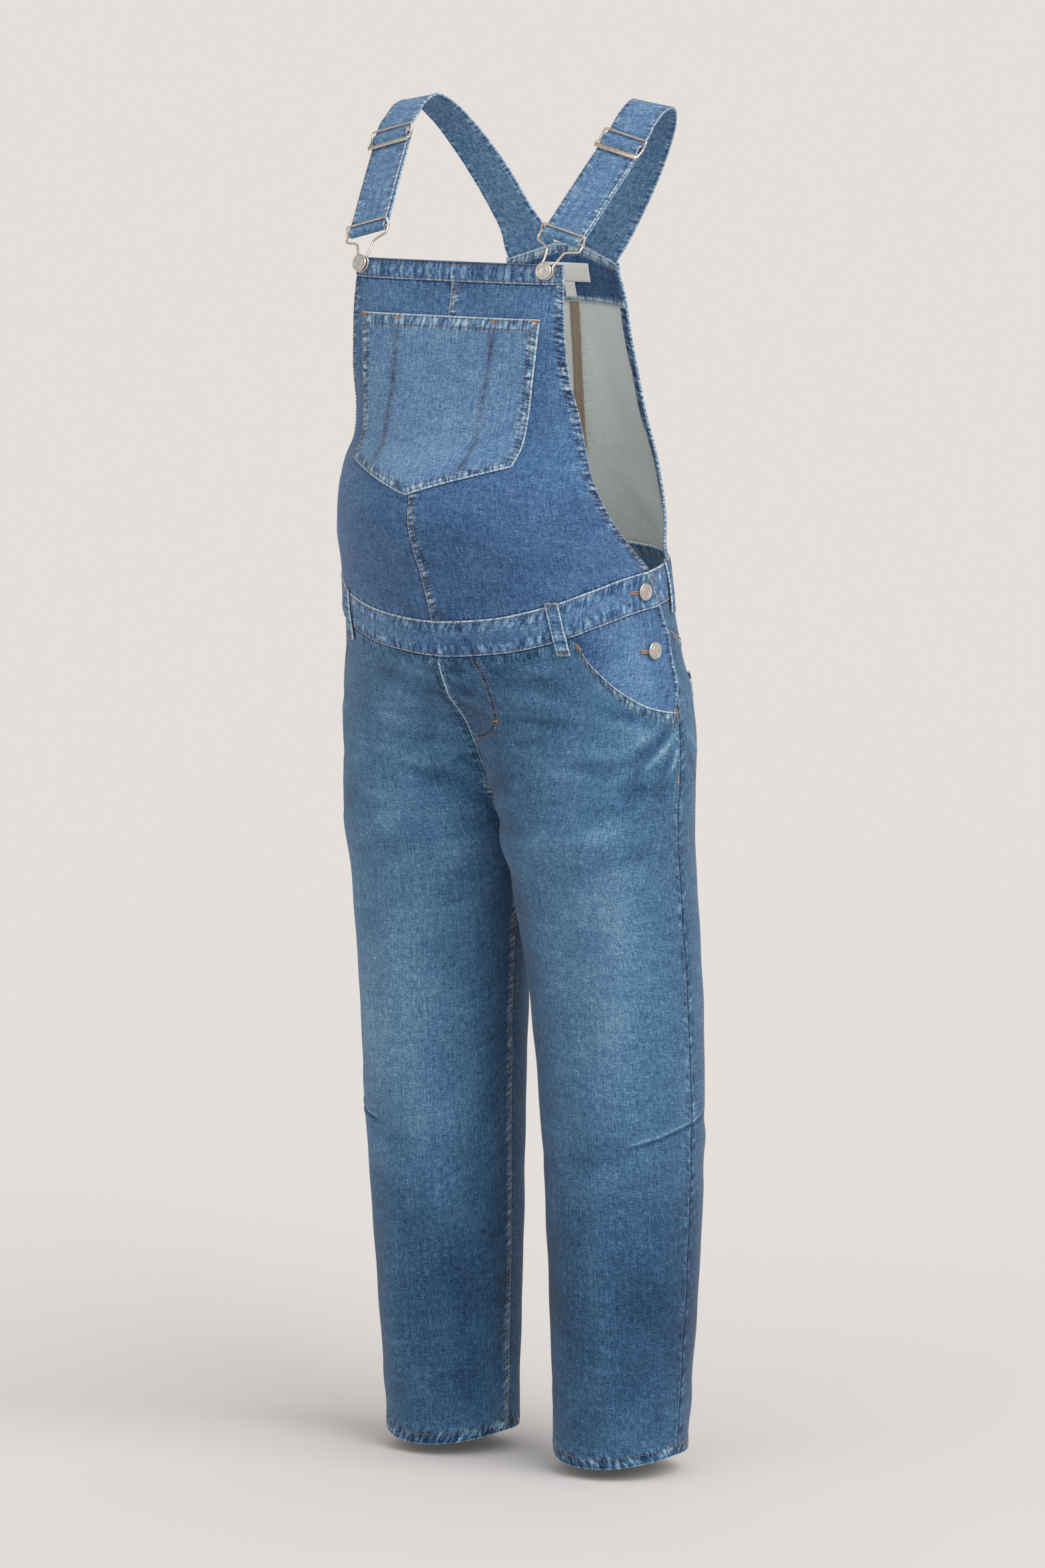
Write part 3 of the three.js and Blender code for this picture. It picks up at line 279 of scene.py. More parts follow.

# Whiskers and drag lines worn into the cloth, and a painted shadow line beside the centre front seam, each
# lighter (+) or darker (-) than what is round it:
# angle and z of one end, angle and z of the other, width, tone
WHISKERS_AND_SHADE = [
    (86.5, -605, 73.2, -639, 2.8, 0.40), (88.8, -615, 84.5, -641, 2.8, 0.40),
    (83.8, -601, 69.2, -624, 5.9, -0.16), (86.8, -621, 79.0, -650, 5.3, -0.18),
    (69.8, -637, 60.0, -651, 6.6, 0.08), (77.5, -592, 54.2, -575, 5.3, -0.12),
    (53.0, -585, 74.8, -601, 4.6, 0.10), (45.0, -575, 22.2, -562, 5.9, 0.10),
    (24.8, -585, 46.8, -594, 5.3, -0.10), (57.5, -602, 77.8, -609, 5.3, 0.08),
    (45.8, -616, 68.8, -618, 6.6, 0.08), (45.5, -629, 64.8, -638, 5.9, -0.10),
    (66.0, -661, 86.2, -655, 7.9, -0.12), (34.8, -634, 47.5, -642, 5.3, 0.07),
    (25.5, -613, 40.8, -608, 5.3, -0.08), (56.8, -680, 73.5, -674, 7.9, -0.10),
    (56.5, -699, 70.2, -696, 9.2, 0.09), (63.0, -722, 84.5, -716, 9.2, -0.08),
    (-25.0, -566, -11.5, -582, 5.9, 0.10), (-37.2, -592, -21.0, -601, 5.9, 0.08),
    (-7.2, -561, 2.0, -581, 5.9, -0.13), (-28.0, -616, -8.0, -616, 5.9, -0.08),
    (-40.8, -628, -20.5, -638, 7.3, 0.08), (-29.2, -652, -8.2, -654, 7.3, -0.11),
    (-29.2, -675, -12.2, -681, 7.9, -0.09), (-50.5, -670, -34.2, -679, 7.9, 0.08),
    (-13.2, -600, -2.0, -609, 4.6, 0.06), (-10.0, -630, -3.2, -644, 4.6, -0.10),
    (-35.2, -688, -47.5, -704, 7.9, 0.08), (-30.8, -710, -49.0, -724, 8.6, -0.06),
    (14.5, -538, 23.2, -542, 4.0, -0.10), (25.8, -538, 41.8, -535, 5.3, 0.06),
    (29.5, -548, 42.8, -554, 5.3, -0.08), (0.2, -539, 9.5, -544, 3.3, -0.12),
    (1.8, -559, 11.2, -567, 4.0, -0.10), (2.2, -580, 13.5, -588, 4.0, -0.10),
    (1.2, -549, 10.2, -556, 3.3, 0.10), (3.0, -569, 12.2, -576, 3.3, 0.10),
    (-30.2, -547, -17.2, -551, 5.3, -0.08), (-16.2, -543, -4.8, -550, 5.3, 0.06),
    # beside the centre front seam, where the dark line on the wearer's right is painted shadow, and along
    # the curve of the mock fly
    (0.4, -498, 0.8, -640, 1.6, 0.22), (-1.8, -500, -1.8, -640, 2.2, -0.14),
    (6.0, -510, 7.0, -600, 9.0, -0.06), (13.6, -512, 16.4, -520, 1.8, 0.14),
    (14.4, -534, 17.2, -541, 1.8, 0.14), (14.8, -556, 17.4, -562, 1.8, 0.14),
    (13.8, -580, 16.6, -589, 1.8, 0.13),
    # the same wear on the other hip
    (-86.2, -607, -72.5, -642, 2.6, 0.28), (-88.6, -618, -84.0, -646, 2.6, 0.28),
    (-83.5, -603, -68.8, -628, 5.9, -0.16), (-86.5, -625, -78.5, -655, 5.3, -0.18),
    (-78.0, -594, -55.0, -577, 5.3, -0.12), (-54.0, -587, -74.0, -603, 4.6, 0.09),
    (-65.0, -664, -85.5, -658, 7.9, -0.11), (-57.5, -684, -73.0, -678, 7.9, -0.09),
    # seat and backs of the knees
    (172.0, -706, 150.0, -716, 5.0, -0.12), (170.0, -722, 146.0, -734, 5.0, 0.10),
    (170.0, -742, 142.0, -756, 6.0, -0.10), (-172.0, -710, -151.0, -720, 5.0, -0.12),
    (-170.0, -727, -146.0, -739, 5.0, 0.10), (-170.0, -747, -143.0, -760, 6.0, -0.10),
    (96.0, -604, 108.0, -628, 3.2, 0.18), (95.0, -622, 104.0, -652, 4.0, -0.14),
    (-96.0, -606, -108.0, -632, 3.2, 0.18), (-95.0, -625, -104.0, -656, 4.0, -0.14),
    (110.0, -1000, 142.0, -1006, 5.0, -0.12), (112.0, -1018, 148.0, -1024, 5.0, 0.12),
    (112.0, -1036, 144.0, -1040, 5.0, -0.12), (-110.0, -1004, -142.0, -1010, 5.0, -0.12),
    (-112.0, -1022, -148.0, -1028, 5.0, 0.12), (-112.0, -1040, -144.0, -1044, 5.0, -0.12),
]
WHISKER_RISE = 4.5

# Knee darts at the side seams: a narrow trough with a worn ridge on either side
DART = [(104, -980), (96, -988), (84, -994.5), (73, -1003), (63, -1010)]
RIGHT_DART = 0.77

# Between the two rows of the mock fly's stitching, from the waistband to the centre seam
FLY_MIDDLE = [(10.5, -500), (11.6, -515), (12.7, -531), (14.6, -544), (16.0, -561), (17.0, -576),
              (17.3, -587), (16.4, -596), (14.0, -603.5), (9.3, -608.5), (3.3, -612)]

# Lighter (+) and darker (-) places of the wash, with painted shade in a narrow band just below the front
# waistband: angle, z, reach round, reach up and down, amount
WASH_AND_SHADE = [
    (52, -800, 80, 150, 0.09), (-40, -790, 80, 170, 0.09), (52, -950, 70, 90, 0.05),
    (-44, -950, 80, 110, 0.13), (14, -830, 52, 260, -0.20), (-8, -830, 40, 260, -0.11),
    (72, -540, 44, 40, 0.12), (-72, -540, 44, 40, 0.12), (88, -760, 28, 120, -0.03),
    (-88, -900, 30, 330, -0.10), (60, -1180, 190, 120, -0.19), (-45, -1190, 150, 130, -0.15),
    (10, -1100, 60, 140, -0.10), (40, -1010, 60, 40, -0.03), (20, -560, 60, 40, -0.05),
    # (40, -520): painted shade in a narrow band just below the front waistband
    (178, -900, 50, 330, -0.06), (-178, -900, 50, 330, -0.06), (40, -520, 90, 16, -0.06),
    (135, -790, 90, 150, 0.06), (-135, -790, 90, 150, 0.06), (140, -640, 80, 60, 0.08),
    (-140, -640, 80, 60, 0.08), (135, -1010, 80, 40, -0.06), (-135, -1010, 80, 40, -0.06),
    (135, -1200, 160, 120, -0.12), (-135, -1200, 160, 120, -0.12), (0, -190, 180, 30, 0.10),
    (0, -330, 130, 70, 0.03), (0, -420, 200, 50, -0.03), (58, -330, 40, 90, 0.04),
    (180, -300, 150, 130, 0.05), (-180, -300, 150, 130, 0.05),
]


# Faint unevenness all over: length and slant of each wave
UNEVEN_WAVES = [(61, 0.4), (83, -0.7), (47, 1.3), (119, 0.2), (37, -1.6)]
UNEVEN_RISE = 0.22

FAR = 99.0                          # further from a seam than its wear reaches


def from_segment(x, z, start, end):
    """How far along a segment a place lies, as a share, and how far from the segment it is."""
    (x1, z1), (x2, z2) = start, end
    length2 = (x2 - x1) ** 2 + (z2 - z1) ** 2
    share = ((x - x1) * (x2 - x1) + (z - z1) * (z2 - z1)) / length2
    inside = np.clip(share, 0, 1)
    return share, np.hypot(x - x1 - inside * (x2 - x1), z - z1 - inside * (z2 - z1))


def soft_lines(z, angle, rows):
    """The sum of lines that fade at their ends and to both sides."""
    total = np.zeros(np.broadcast(z, angle).shape)
    for a1, z1, a2, z2, width, amount in rows:
        ends = (a1 * MM_PER_DEGREE, z1), (a2 * MM_PER_DEGREE, z2)
        share, away = from_segment(angle * MM_PER_DEGREE, z, *ends)
        taper = np.sin(np.pi * np.clip(share * 0.86 + 0.07, 0, 1)) ** 0.7
        total += amount * np.exp(-((away / width) ** 2)) * taper
    return total


def creases(z, angle):
    """Height in millimetres of the listed creases, and of a faint unevenness all over."""
    z, angle = np.broadcast_arrays(np.asarray(z, float), np.asarray(angle, float))
    height = soft_lines(z, angle, CREASES) + WHISKER_RISE * soft_lines(z, angle, WHISKERS_AND_SHADE)
    x = angle * MM_PER_DEGREE
    for k, (length, slant) in enumerate(UNEVEN_WAVES):
        height += UNEVEN_RISE * np.sin((x + slant * z) / length * 2.2 + 1.7 * k)
    return height


def from_dart(z, angle):
    """How far round the knee dart a place lies, and its height above the dart's fold. The
    wearer's right dart reaches further forward than the left one."""
    turn = np.abs(angle)
    turn = np.where(angle < 0, SIDE + (turn - SIDE) * RIGHT_DART, turn)
    places = np.array(DART[::-1], float)
    return turn, z - np.interp(turn, places[:, 0], places[:, 1])


def dart(z, angle):
    """Height of the knee darts."""
    turn, away = from_dart(z, angle)
    ends = smooth(60.5, 68, turn) * smooth(103, 97, turn)
    trough = -1.3 * np.exp(-((away / 1.9) ** 2))
    ridge = 0.9 * np.exp(-(((np.abs(away) - 4.5) / 3.0) ** 2))
    within = (turn <= DART[0][0]) & (turn >= DART[-1][0])
    return np.where(within, (trough + ridge) * ends, 0.0)


def dart_wear(z, angle):
    """The darts' folds are worn light, with a dark line beside them."""
    turn, away = from_dart(z, angle)
    ends = smooth(61, 68, turn) * smooth(103, 97, turn)
    light = 0.34 * np.exp(-(((away - 2.6) / 1.6) ** 2))
    dark = 0.22 * np.exp(-(((away + 1.2) / 2.0) ** 2))
    return ends * (light - dark)


def fly_wear(z, angle):
    """Dark dashes of wear between the two rows of the mock fly's stitching."""
    places = [(a * MM_PER_DEGREE, height) for a, height in FLY_MIDDLE]
    nearest = np.full(np.shape(z), FAR)
    along = np.zeros(np.shape(z))
    run = 0.0
    for start, end in zip(places[:-1], places[1:]):
        length = math.dist(start, end)
        share, away = from_segment(angle * MM_PER_DEGREE, z, start, end)
        along = np.where(away < nearest, run + np.clip(share, 0, 1) * length, along)
        nearest = np.minimum(nearest, away)
        run += length
    dashes = 0.55 + 0.45 * np.sin(along / 1.5 + 1.3 * np.sin(along / 5.0))
    return -0.30 * dashes * np.exp(-((nearest / 2.4) ** 2))


def wash_and_shade(z, angle):
    """How much lighter or darker than plain denim the cloth is, by wash and wear, with painted shade below
    the waistband and beside the centre front seam.
    """
    tone = fly_wear(z, angle) + soft_lines(z, angle, WHISKERS_AND_SHADE) + dart_wear(z, angle)
    for a0, z0, reach_a, reach_z, amount in WASH_AND_SHADE:
        away = ((angle - a0) * MM_PER_DEGREE / reach_a) ** 2 + ((z - z0) / reach_z) ** 2
        tone = tone + amount * np.exp(-away)
    return tone


def streaks(along, seed):
    """Uneven puckers along a seam, from -1 to 1."""
    wave = np.zeros(np.shape(along))
    for k, length in enumerate([5.6, 7.4, 9.7, 13.1]):
        wave = wave + np.sin(2 * np.pi * along / length + 2.3 * k + 1.9 * seed)
    return np.clip(wave / 2.2, -1, 1)


# Meshes

def place_in_scene(name, data):
    obj = bpy.data.objects.new(name, data)
    bpy.context.scene.collection.objects.link(obj)
    return obj


def add_object(name, points, faces, material):
    mesh = bpy.data.meshes.new(name)
    mesh.from_pydata((np.asarray(points) * MM).tolist(), [], faces)
    mesh.validate()
    mesh.update()
    mesh.shade_smooth()
    obj = place_in_scene(name, mesh)
    mesh.materials.append(material)
    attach(obj, "root")
    return obj


def lengths_along(points):
    steps = np.linalg.norm(np.diff(points, axis=0), axis=1)
    return np.concatenate([[0], np.cumsum(steps)])


def interpolated(at, along, table):
    return np.stack([np.interp(at, along, column) for column in np.asarray(table).T], axis=1)


def put_where(mask, grids, values):
    """Writes each value into its layer of the grids, where the mask holds."""
    for layer, value in enumerate(values):
        grids[..., layer] = np.where(mask, value, grids[..., layer])


def spaced(length, step, edge=(0.0, 0.7)):
    """Places from 0 to 1 along a length, step apart, with close ones at both ends."""
    inner = np.linspace(edge[-1], length - edge[-1], max(2, int(round(length / step))))
    places = list(edge[:-1]) + list(inner) + [length - e for e in reversed(edge[:-1])]
    return np.array(places) / length


EDGE_NAMES = ("left", "right", "top", "bottom")
UPRIGHT_EDGES = ("left", "right")
BACK_OF_CLOTH = np.array([7.0, 3.0, 0.0])   # moves the grain of the wrong side, so that it differs


class Cloth:
    """A cloth shell on a grid of surface points. edges gives, for left, right, top and bottom, a
    dict: rope (how strongly the seam ropes), reach (how far in it goes), pitch (from rib to rib),
    rim (worn light edge; below 0, a painted shadow line where the edge is tucked under a neighbour),
    rows (rows of stitching, whose grooves are painted darker as shade), hem (width of the turned
    cloth), fell (width of a raised felled seam), puck (height of the puckers), tone, and only (where
    along the edge it isn't tucked; elsewhere the edge takes a painted shadow line)."""

    def __init__(self, points, normals, z, angle, lift=0.0, thick=CLOTH, edges=None, tone=0.0,
                 inside=1.0, seed=0, relief=True, extra=0.0, pinch=0.28, upright=False):
        rows, columns = points.shape[:2]
        across = np.linalg.norm(np.diff(points, axis=1), axis=2)
        down = np.linalg.norm(np.diff(points, axis=0), axis=2)
        cu = np.concatenate([np.zeros((rows, 1)), np.cumsum(across, axis=1)], axis=1)
        cv = np.concatenate([np.zeros((1, columns)), np.cumsum(down, axis=0)], axis=0)
        self.shape = (rows, columns)
        self.normals = normals
        self.cu, self.cv = cu, cv
        self.distance = {"left": cu, "right": cu[:, -1:] - cu, "top": cv, "bottom": cv[-1:] - cv}

        self.height = np.zeros(self.shape) + lift + extra
        if relief:
            self.height += creases(z, angle) + dart(z, angle)
        self.wall = np.full(self.shape, float(thick))
        self.tone = np.zeros(self.shape) + tone
        self.turned = np.zeros(self.shape)
        self.nearest = np.full(self.shape, FAR)
        self.rope = np.zeros((rows, columns, 3))
        self.rope[..., 1] = FAR
        self.seam = np.zeros((rows, columns, 3))
        for number, name in enumerate(EDGE_NAMES):
            if edges and edges.get(name):
                self.finish_edge(number, name, edges[name], seed)

        border = np.zeros(self.shape)
        border[0, :] = border[-1, :] = border[:, 0] = border[:, -1] = 1
        pinched = self.wall * pinch * border
        self.outer = points + normals * (self.height - pinched)[..., None]
        self.inner = points + normals * (self.height - self.wall + pinched)[..., None]
        self.tone += wash_and_shade(z, angle)
        # The tone follows the relief: painted highlights on ridges and painted shade in troughs.
        if relief:
            self.tone += 0.04 * (self.height - lift - extra)
        self.weave_u = cu - cu[:, columns // 2, None] if upright else cu
        self.weave_v = cv - z[0] if upright else cv
        self.inside = inside * (1 - self.turned)

    def finish_edge(self, number, name, edge, seed):
        """Turns, raises, puckers and wears the cloth along one edge."""
        away = self.distance[name]
        along = self.cv if name in UPRIGHT_EDGES else self.cu
        only = np.asarray(edge.get("only", 1.0))
        hem, fell = edge.get("hem", 0), edge.get("fell", 0)
        if hem:
            share = only * (1 - smooth(hem - 0.3, hem + 0.9, away))
            self.wall += 0.9 * share
            self.height += 0.25 * share
            self.turned = np.maximum(self.turned, only * (1 - smooth(hem - 0.5, hem + 0.5, away)))
        if fell:
            share = 1 - smooth(fell - 0.3, fell + 0.7, away)
            self.height += 0.7 * share
            self.wall += 0.7 * share
        reach = edge.get("reach", max(hem, fell, 5.0))
        self.tone += edge.get("tone", 0.0) * (1 - smooth(reach - 1, reach + 2, away))
        puck = edge.get("puck", 0.0)
        if puck:
            mask = np.exp(-((np.maximum(away - reach, 0) / 6.0) ** 2)) * smooth(0.0, 2.5, away)
            self.height += puck * mask * streaks(along + 0.4 * away, seed + 3 * number)
        strength = np.asarray(edge.get("rope", 0.0))
        if strength.any():
            nearer = away - reach < self.nearest
            self.nearest = np.where(nearer, away - reach, self.nearest)
            # opposite edges share their ribs, so that they meet without a break
            ribs = 2 * along / edge.get("pitch", 6.5) + 57.0 * (number // 2) + 31.0 * seed
            # a rim below 0, and -0.3 where the edge is tucked (only is 0), is a painted shadow line along
            # the edge
            rim = edge.get("rim", 0.4) * only - 0.3 * (1 - only)
            put_where(nearer, self.rope, (ribs, away, strength))
            put_where(nearer, self.seam, (reach, rim, edge.get("rows", 1) * only))

    def make(self, name, material, slot, *nodes):
        """The shell's mesh: its outer and inner faces and a rounded rim."""
        rows, columns = self.shape
        count = rows * columns
        index = np.arange(count).reshape(rows, columns)
        ring = np.concatenate([index[0, :], index[1:, -1], index[-1, -2::-1], index[-2:0:-1, 0]])
        flat_outer = self.outer.reshape(-1, 3)
        flat_inner = self.inner.reshape(-1, 3)
        inward = np.zeros((rows, columns, 3))
        inward[0, :] += self.outer[1, :] - self.outer[0, :]
        inward[-1, :] += self.outer[-2, :] - self.outer[-1, :]
        inward[:, 0] += self.outer[:, 1] - self.outer[:, 0]
        inward[:, -1] += self.outer[:, -2] - self.outer[:, -1]
        middle = (flat_outer[ring] + flat_inner[ring]) / 2
        gap = np.linalg.norm(flat_outer[ring] - flat_inner[ring], axis=1, keepdims=True)
        middle = middle - unit(inward.reshape(-1, 3)[ring]) * gap * 0.3
        points = np.concatenate([flat_outer, flat_inner, middle])

        a, b = index[:-1, :-1].ravel(), index[1:, :-1].ravel()
        c, d = index[1:, 1:].ravel(), index[:-1, 1:].ravel()
        rim = np.arange(len(ring)) + 2 * count
        after, rim_after = np.roll(ring, -1), np.roll(rim, -1)
        faces = np.concatenate([
            np.stack([a, b, c, d], axis=1),
            np.stack([a, d, c, b], axis=1) + count,
            np.stack([ring, after, rim_after, rim], axis=1),
            np.stack([rim, rim_after, after + count, ring + count], axis=1),
        ])
        r, c = rows // 2, columns // 2
        turn = np.cross(self.outer[r, c - 1] - self.outer[r - 1, c - 1],
                        self.outer[r, c] - self.outer[r, c - 1])
        if turn @ self.normals[r, c] < 0:
            faces = faces[:, ::-1]
        self.obj = add_object(name, points, faces.tolist(), material)

        weave = np.stack([self.weave_u, self.weave_v, np.zeros(self.shape)], axis=2)
        for key, outer, inner in (
            ("cloth", weave * MM, (weave + BACK_OF_CLOTH) * MM),
            ("rope", self.rope, self.rope),
            ("seam", self.seam, self.seam),
            ("tone", self.tone, self.tone),
            ("inside", np.zeros(self.shape), self.inside),
        ):
            kind, member = ("FLOAT_VECTOR", "vector") if outer.ndim == 3 else ("FLOAT", "value")
            outer, inner = outer.reshape(count, -1), inner.reshape(count, -1)
            values = np.concatenate([outer, inner, outer[ring]]).astype(np.float32)
            attribute = self.obj.data.attributes.new(key, kind, "POINT")
            attribute.data.foreach_set(member, values.ravel())
        if nodes:
            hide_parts(*nodes)

    def declare(self, held="stretched", rests_on=()):
        across = np.diff(self.outer, axis=1)[:-1]
        down = np.diff(self.outer, axis=0)[:, :-1]
        area = np.linalg.norm(np.cross(across, down), axis=2).sum() * MM * MM
        width, length = self.cu[:, -1].max() * MM, self.cv[-1].max() * MM
        flat = (round(width, 4), round(length, 4))
        area = min(area, 0.999 * flat[0] * flat[1])

    def line(self, edge, away, start=0.0, end=1.0):
        """A line on the cloth that runs parallel to an edge, as points and normals. start and end
        are shares of its length, or millimetres: an end below 0 is measured back from the end."""
        distance, outer, normal = self.distance[edge], self.outer, self.normals
        if edge not in UPRIGHT_EDGES:
            distance, outer, normal = distance.T, outer.swapaxes(0, 1), normal.swapaxes(0, 1)
        if edge in ("right", "bottom"):
            distance, outer, normal = distance[:, ::-1], outer[:, ::-1], normal[:, ::-1]
        places = zip(distance, outer, normal)
        points, normals = [], []
        for far, row, row_normals in places:
            points.append(interpolated([away], far, row)[0])
            normals.append(interpolated([away], far, row_normals)[0])
        points, normals = np.array(points), unit(np.array(normals))
        along = lengths_along(points)
        total = along[-1]
        low = start if start > 1 else start * total
        high = end * total if 0 <= end <= 1 else total + end if end < 0 else end
        at = np.linspace(low, high, max(2, int((high - low) / 2)))
        return interpolated(at, along, points), unit(interpolated(at, along, normals))

    def path(self, places):
        """A line through places given as shares across and down the grid."""
        rows, columns = self.shape
        cells = [(u * (columns - 1), v * (rows - 1)) for u, v in places]
        points = np.array([bilinear(self.outer, *cell) for cell in cells])
        return points, unit(np.array([bilinear(self.normals, *cell) for cell in cells]))


def bilinear(grid, column, row):
    rows, columns = grid.shape[:2]
    c = int(np.clip(column, 0, columns - 2))
    r = int(np.clip(row, 0, rows - 2))
    a, b = column - c, row - r
    top = grid[r, c] * (1 - a) + grid[r, c + 1] * a
    low = grid[r + 1, c] * (1 - a) + grid[r + 1, c + 1] * a
    return top * (1 - b) + low * b


# Stitches

class Thread:
    """Stitches of one colour, joined into one mesh."""

    SIDES = 5

    def __init__(self):
        self.rows = []

    def run(self, line, pitch=3.5, length=2.7, radius=0.42, sink=0.1):
        points, normals = line
        along = lengths_along(points)
        count = int((along[-1] - 1.0) / pitch)
        if count < 1:
            return
        starts = np.arange(count) * pitch + 0.5 + (pitch - length) / 2
        firsts = interpolated(starts, along, points)
        lasts = interpolated(starts + length, along, points)
        ups = unit(interpolated(starts + length / 2, along, normals))
        for first, last, up in zip(firsts, lasts, ups):
            self.rows.append((first, last, up, radius, sink))

    def tack(self, line, length=8.0, width=2.2):
        """A bartack on the second point of a short line, along it."""
        points, normals = line
        self.bar(points[1], normals[1], points[2] - points[0], length, width)

    def bar(self, centre, normal, direction, length=8.0, width=2.2, pitch=0.75):
        """A bartack: close stitches side by side along a short bar."""
        direction = unit(direction - normal * (direction @ normal))
        side = np.cross(normal, direction)
        for s in np.arange(-length / 2, length / 2, pitch):
            at = centre + direction * s
            reach = side * width / 2 + direction * pitch * 0.5
            self.rows.append((at - reach, at + reach, normal, 0.45, -0.1))

    def make(self, name, material, slot):
        points, faces = [], []
        for first, last, up, radius, sink in self.rows:
            base = len(points)
            run = unit(last - first)
            side = np.cross(up, run)
            lift = up * (radius * 0.55 - sink)
            points.append(first - up * radius * 0.4)
            for share in (0.22, 0.78):
                centre = first + (last - first) * share + lift
                for k in range(self.SIDES):
                    t = 2 * math.pi * k / self.SIDES
                    points.append(centre + (side * math.cos(t) + up * math.sin(t)) * radius)
            points.append(last - up * radius * 0.4)
            for k in range(self.SIDES):
                j = (k + 1) % self.SIDES
                faces.append((base, base + 1 + j, base + 1 + k))
                faces.append((base + 1 + k, base + 1 + j, base + 6 + j, base + 6 + k))
                faces.append((base + 6 + k, base + 6 + j, base + 11))
        add_object(name, points, faces, material)


# Materials

class Nodes:
    """A material, with short calls for the nodes that the materials share."""

    def __init__(self, name):
        self.material = bpy.data.materials.new(name)
        self.material.use_nodes = True
        self.tree = self.material.node_tree
        self.shader = next(n for n in self.tree.nodes if n.type == "BSDF_PRINCIPLED")

    def finish(self, **inputs):
        """Feeds the shader's inputs, whose names have _ for a space, and returns the material."""
        for key, value in inputs.items():
            self.feed(self.shader.inputs[key.replace("_", " ")], value)
        return self.material

    def link(self, out, into):
        self.tree.links.new(out, into)

    def feed(self, socket, value):
        if isinstance(value, bpy.types.NodeSocket):
            self.link(value, socket)
        else:
            socket.default_value = value

    def math(self, operation, a, b=0.0, clamp=False):
        node = self.tree.nodes.new("ShaderNodeMath")
        node.operation = operation
        node.use_clamp = clamp
        self.feed(node.inputs[0], a)
        self.feed(node.inputs[1], b)
        return node.outputs[0]

    def times(self, a, b):
        return self.math("MULTIPLY", a, b)

    def plus(self, a, *more):
        for b in more:
            a = self.math("ADD", a, b)
        return a

    def minus(self, a, b):
        return self.math("SUBTRACT", a, b)

    def near(self, value, line, outer=1.1, inner=0.3):
        """1 where the value is near the line, fading to 0."""
        return self.range(self.math("ABSOLUTE", self.minus(value, line)), outer, inner)

    def place(self):
        return self.tree.nodes.new("ShaderNodeTexCoord").outputs["Object"]

    def attribute(self, name, vector=False):
        node = self.tree.nodes.new("ShaderNodeAttribute")
        node.attribute_name = name
        return node.outputs["Vector" if vector else "Fac"]

    def stretched(self, vector, scale):
        node = self.tree.nodes.new("ShaderNodeMapping")
        self.feed(node.inputs["Vector"], vector)
        node.inputs["Scale"].default_value = scale
        return node.outputs[0]

    def noise(self, vector, scale, detail=2.0, rough=0.5):
        node = self.tree.nodes.new("ShaderNodeTexNoise")
        self.feed(node.inputs["Vector"], vector)
        node.inputs["Scale"].default_value = scale
        node.inputs["Detail"].default_value = detail
        node.inputs["Roughness"].default_value = rough
        return node.outputs["Fac"]

    def range(self, value, low, high, to_low=0.0, to_high=1.0):
        node = self.tree.nodes.new("ShaderNodeMapRange")
        self.feed(node.inputs["Value"], value)
        for key, number in zip(("From Min", "From Max", "To Min", "To Max"), (low, high, to_low, to_high)):
            node.inputs[key].default_value = number
        return node.outputs[0]

    def ramp(self, value, stops):
        node = self.tree.nodes.new("ShaderNodeValToRGB")
        self.feed(node.inputs[0], value)
        elements = node.color_ramp.elements
        while len(elements) < len(stops):
            elements.new(0.5)
        for element, (place, color) in zip(elements, stops):
            element.position = place
            element.color = (*color, 1)
        return node.outputs[0]

    def mix(self, share, first, second):
        node = self.tree.nodes.new("ShaderNodeMix")
        node.data_type = "RGBA"
        self.feed(node.inputs[0], share)
        for socket, value in ((node.inputs[6], first), (node.inputs[7], second)):
            if isinstance(value, tuple):
                value = (*value, 1)
            self.feed(socket, value)
        return node.outputs[2]

    def separate(self, vector):
        node = self.tree.nodes.new("ShaderNodeSeparateXYZ")
        self.feed(node.inputs[0], vector)
        return node.outputs

    def combine(self, x, y, z=0.0):
        node = self.tree.nodes.new("ShaderNodeCombineXYZ")
        for socket, value in zip(node.inputs, (x, y, z)):
            self.feed(socket, value)
        return node.outputs[0]

    def bump(self, height, strength, distance):
        node = self.tree.nodes.new("ShaderNodeBump")
        node.inputs["Strength"].default_value = strength
        node.inputs["Distance"].default_value = distance
        self.feed(node.inputs["Height"], height)
        return node.outputs[0]


# Denim colours from deep indigo to worn white; the trousers have faded a little greyer
BIB_STOPS = [
    (0.0, (0.010, 0.028, 0.085)),
    (0.25, (0.033, 0.085, 0.200)),
    (0.5, (0.090, 0.190, 0.355)),
    (0.75, (0.220, 0.365, 0.520)),
    (1.0, (0.520, 0.640, 0.700)),
]
LEG_STOPS = [
    (0.0, (0.009, 0.030, 0.078)),
    (0.25, (0.029, 0.083, 0.168)),
    (0.5, (0.078, 0.182, 0.318)),
    (0.75, (0.204, 0.346, 0.460)),
    (1.0, (0.490, 0.640, 0.690)),
]
# The wrong side's pale colours are partly its own and partly painted light, raised to make up for the
# shade inside the back.
WRONG_SIDE = [(0.0, (0.42, 0.475, 0.455)), (0.5, (0.76, 0.80, 0.775)), (1.0, (0.94, 0.95, 0.93))]


FIRST_ROW = 1.9                     # from an edge to the row of stitching beside it


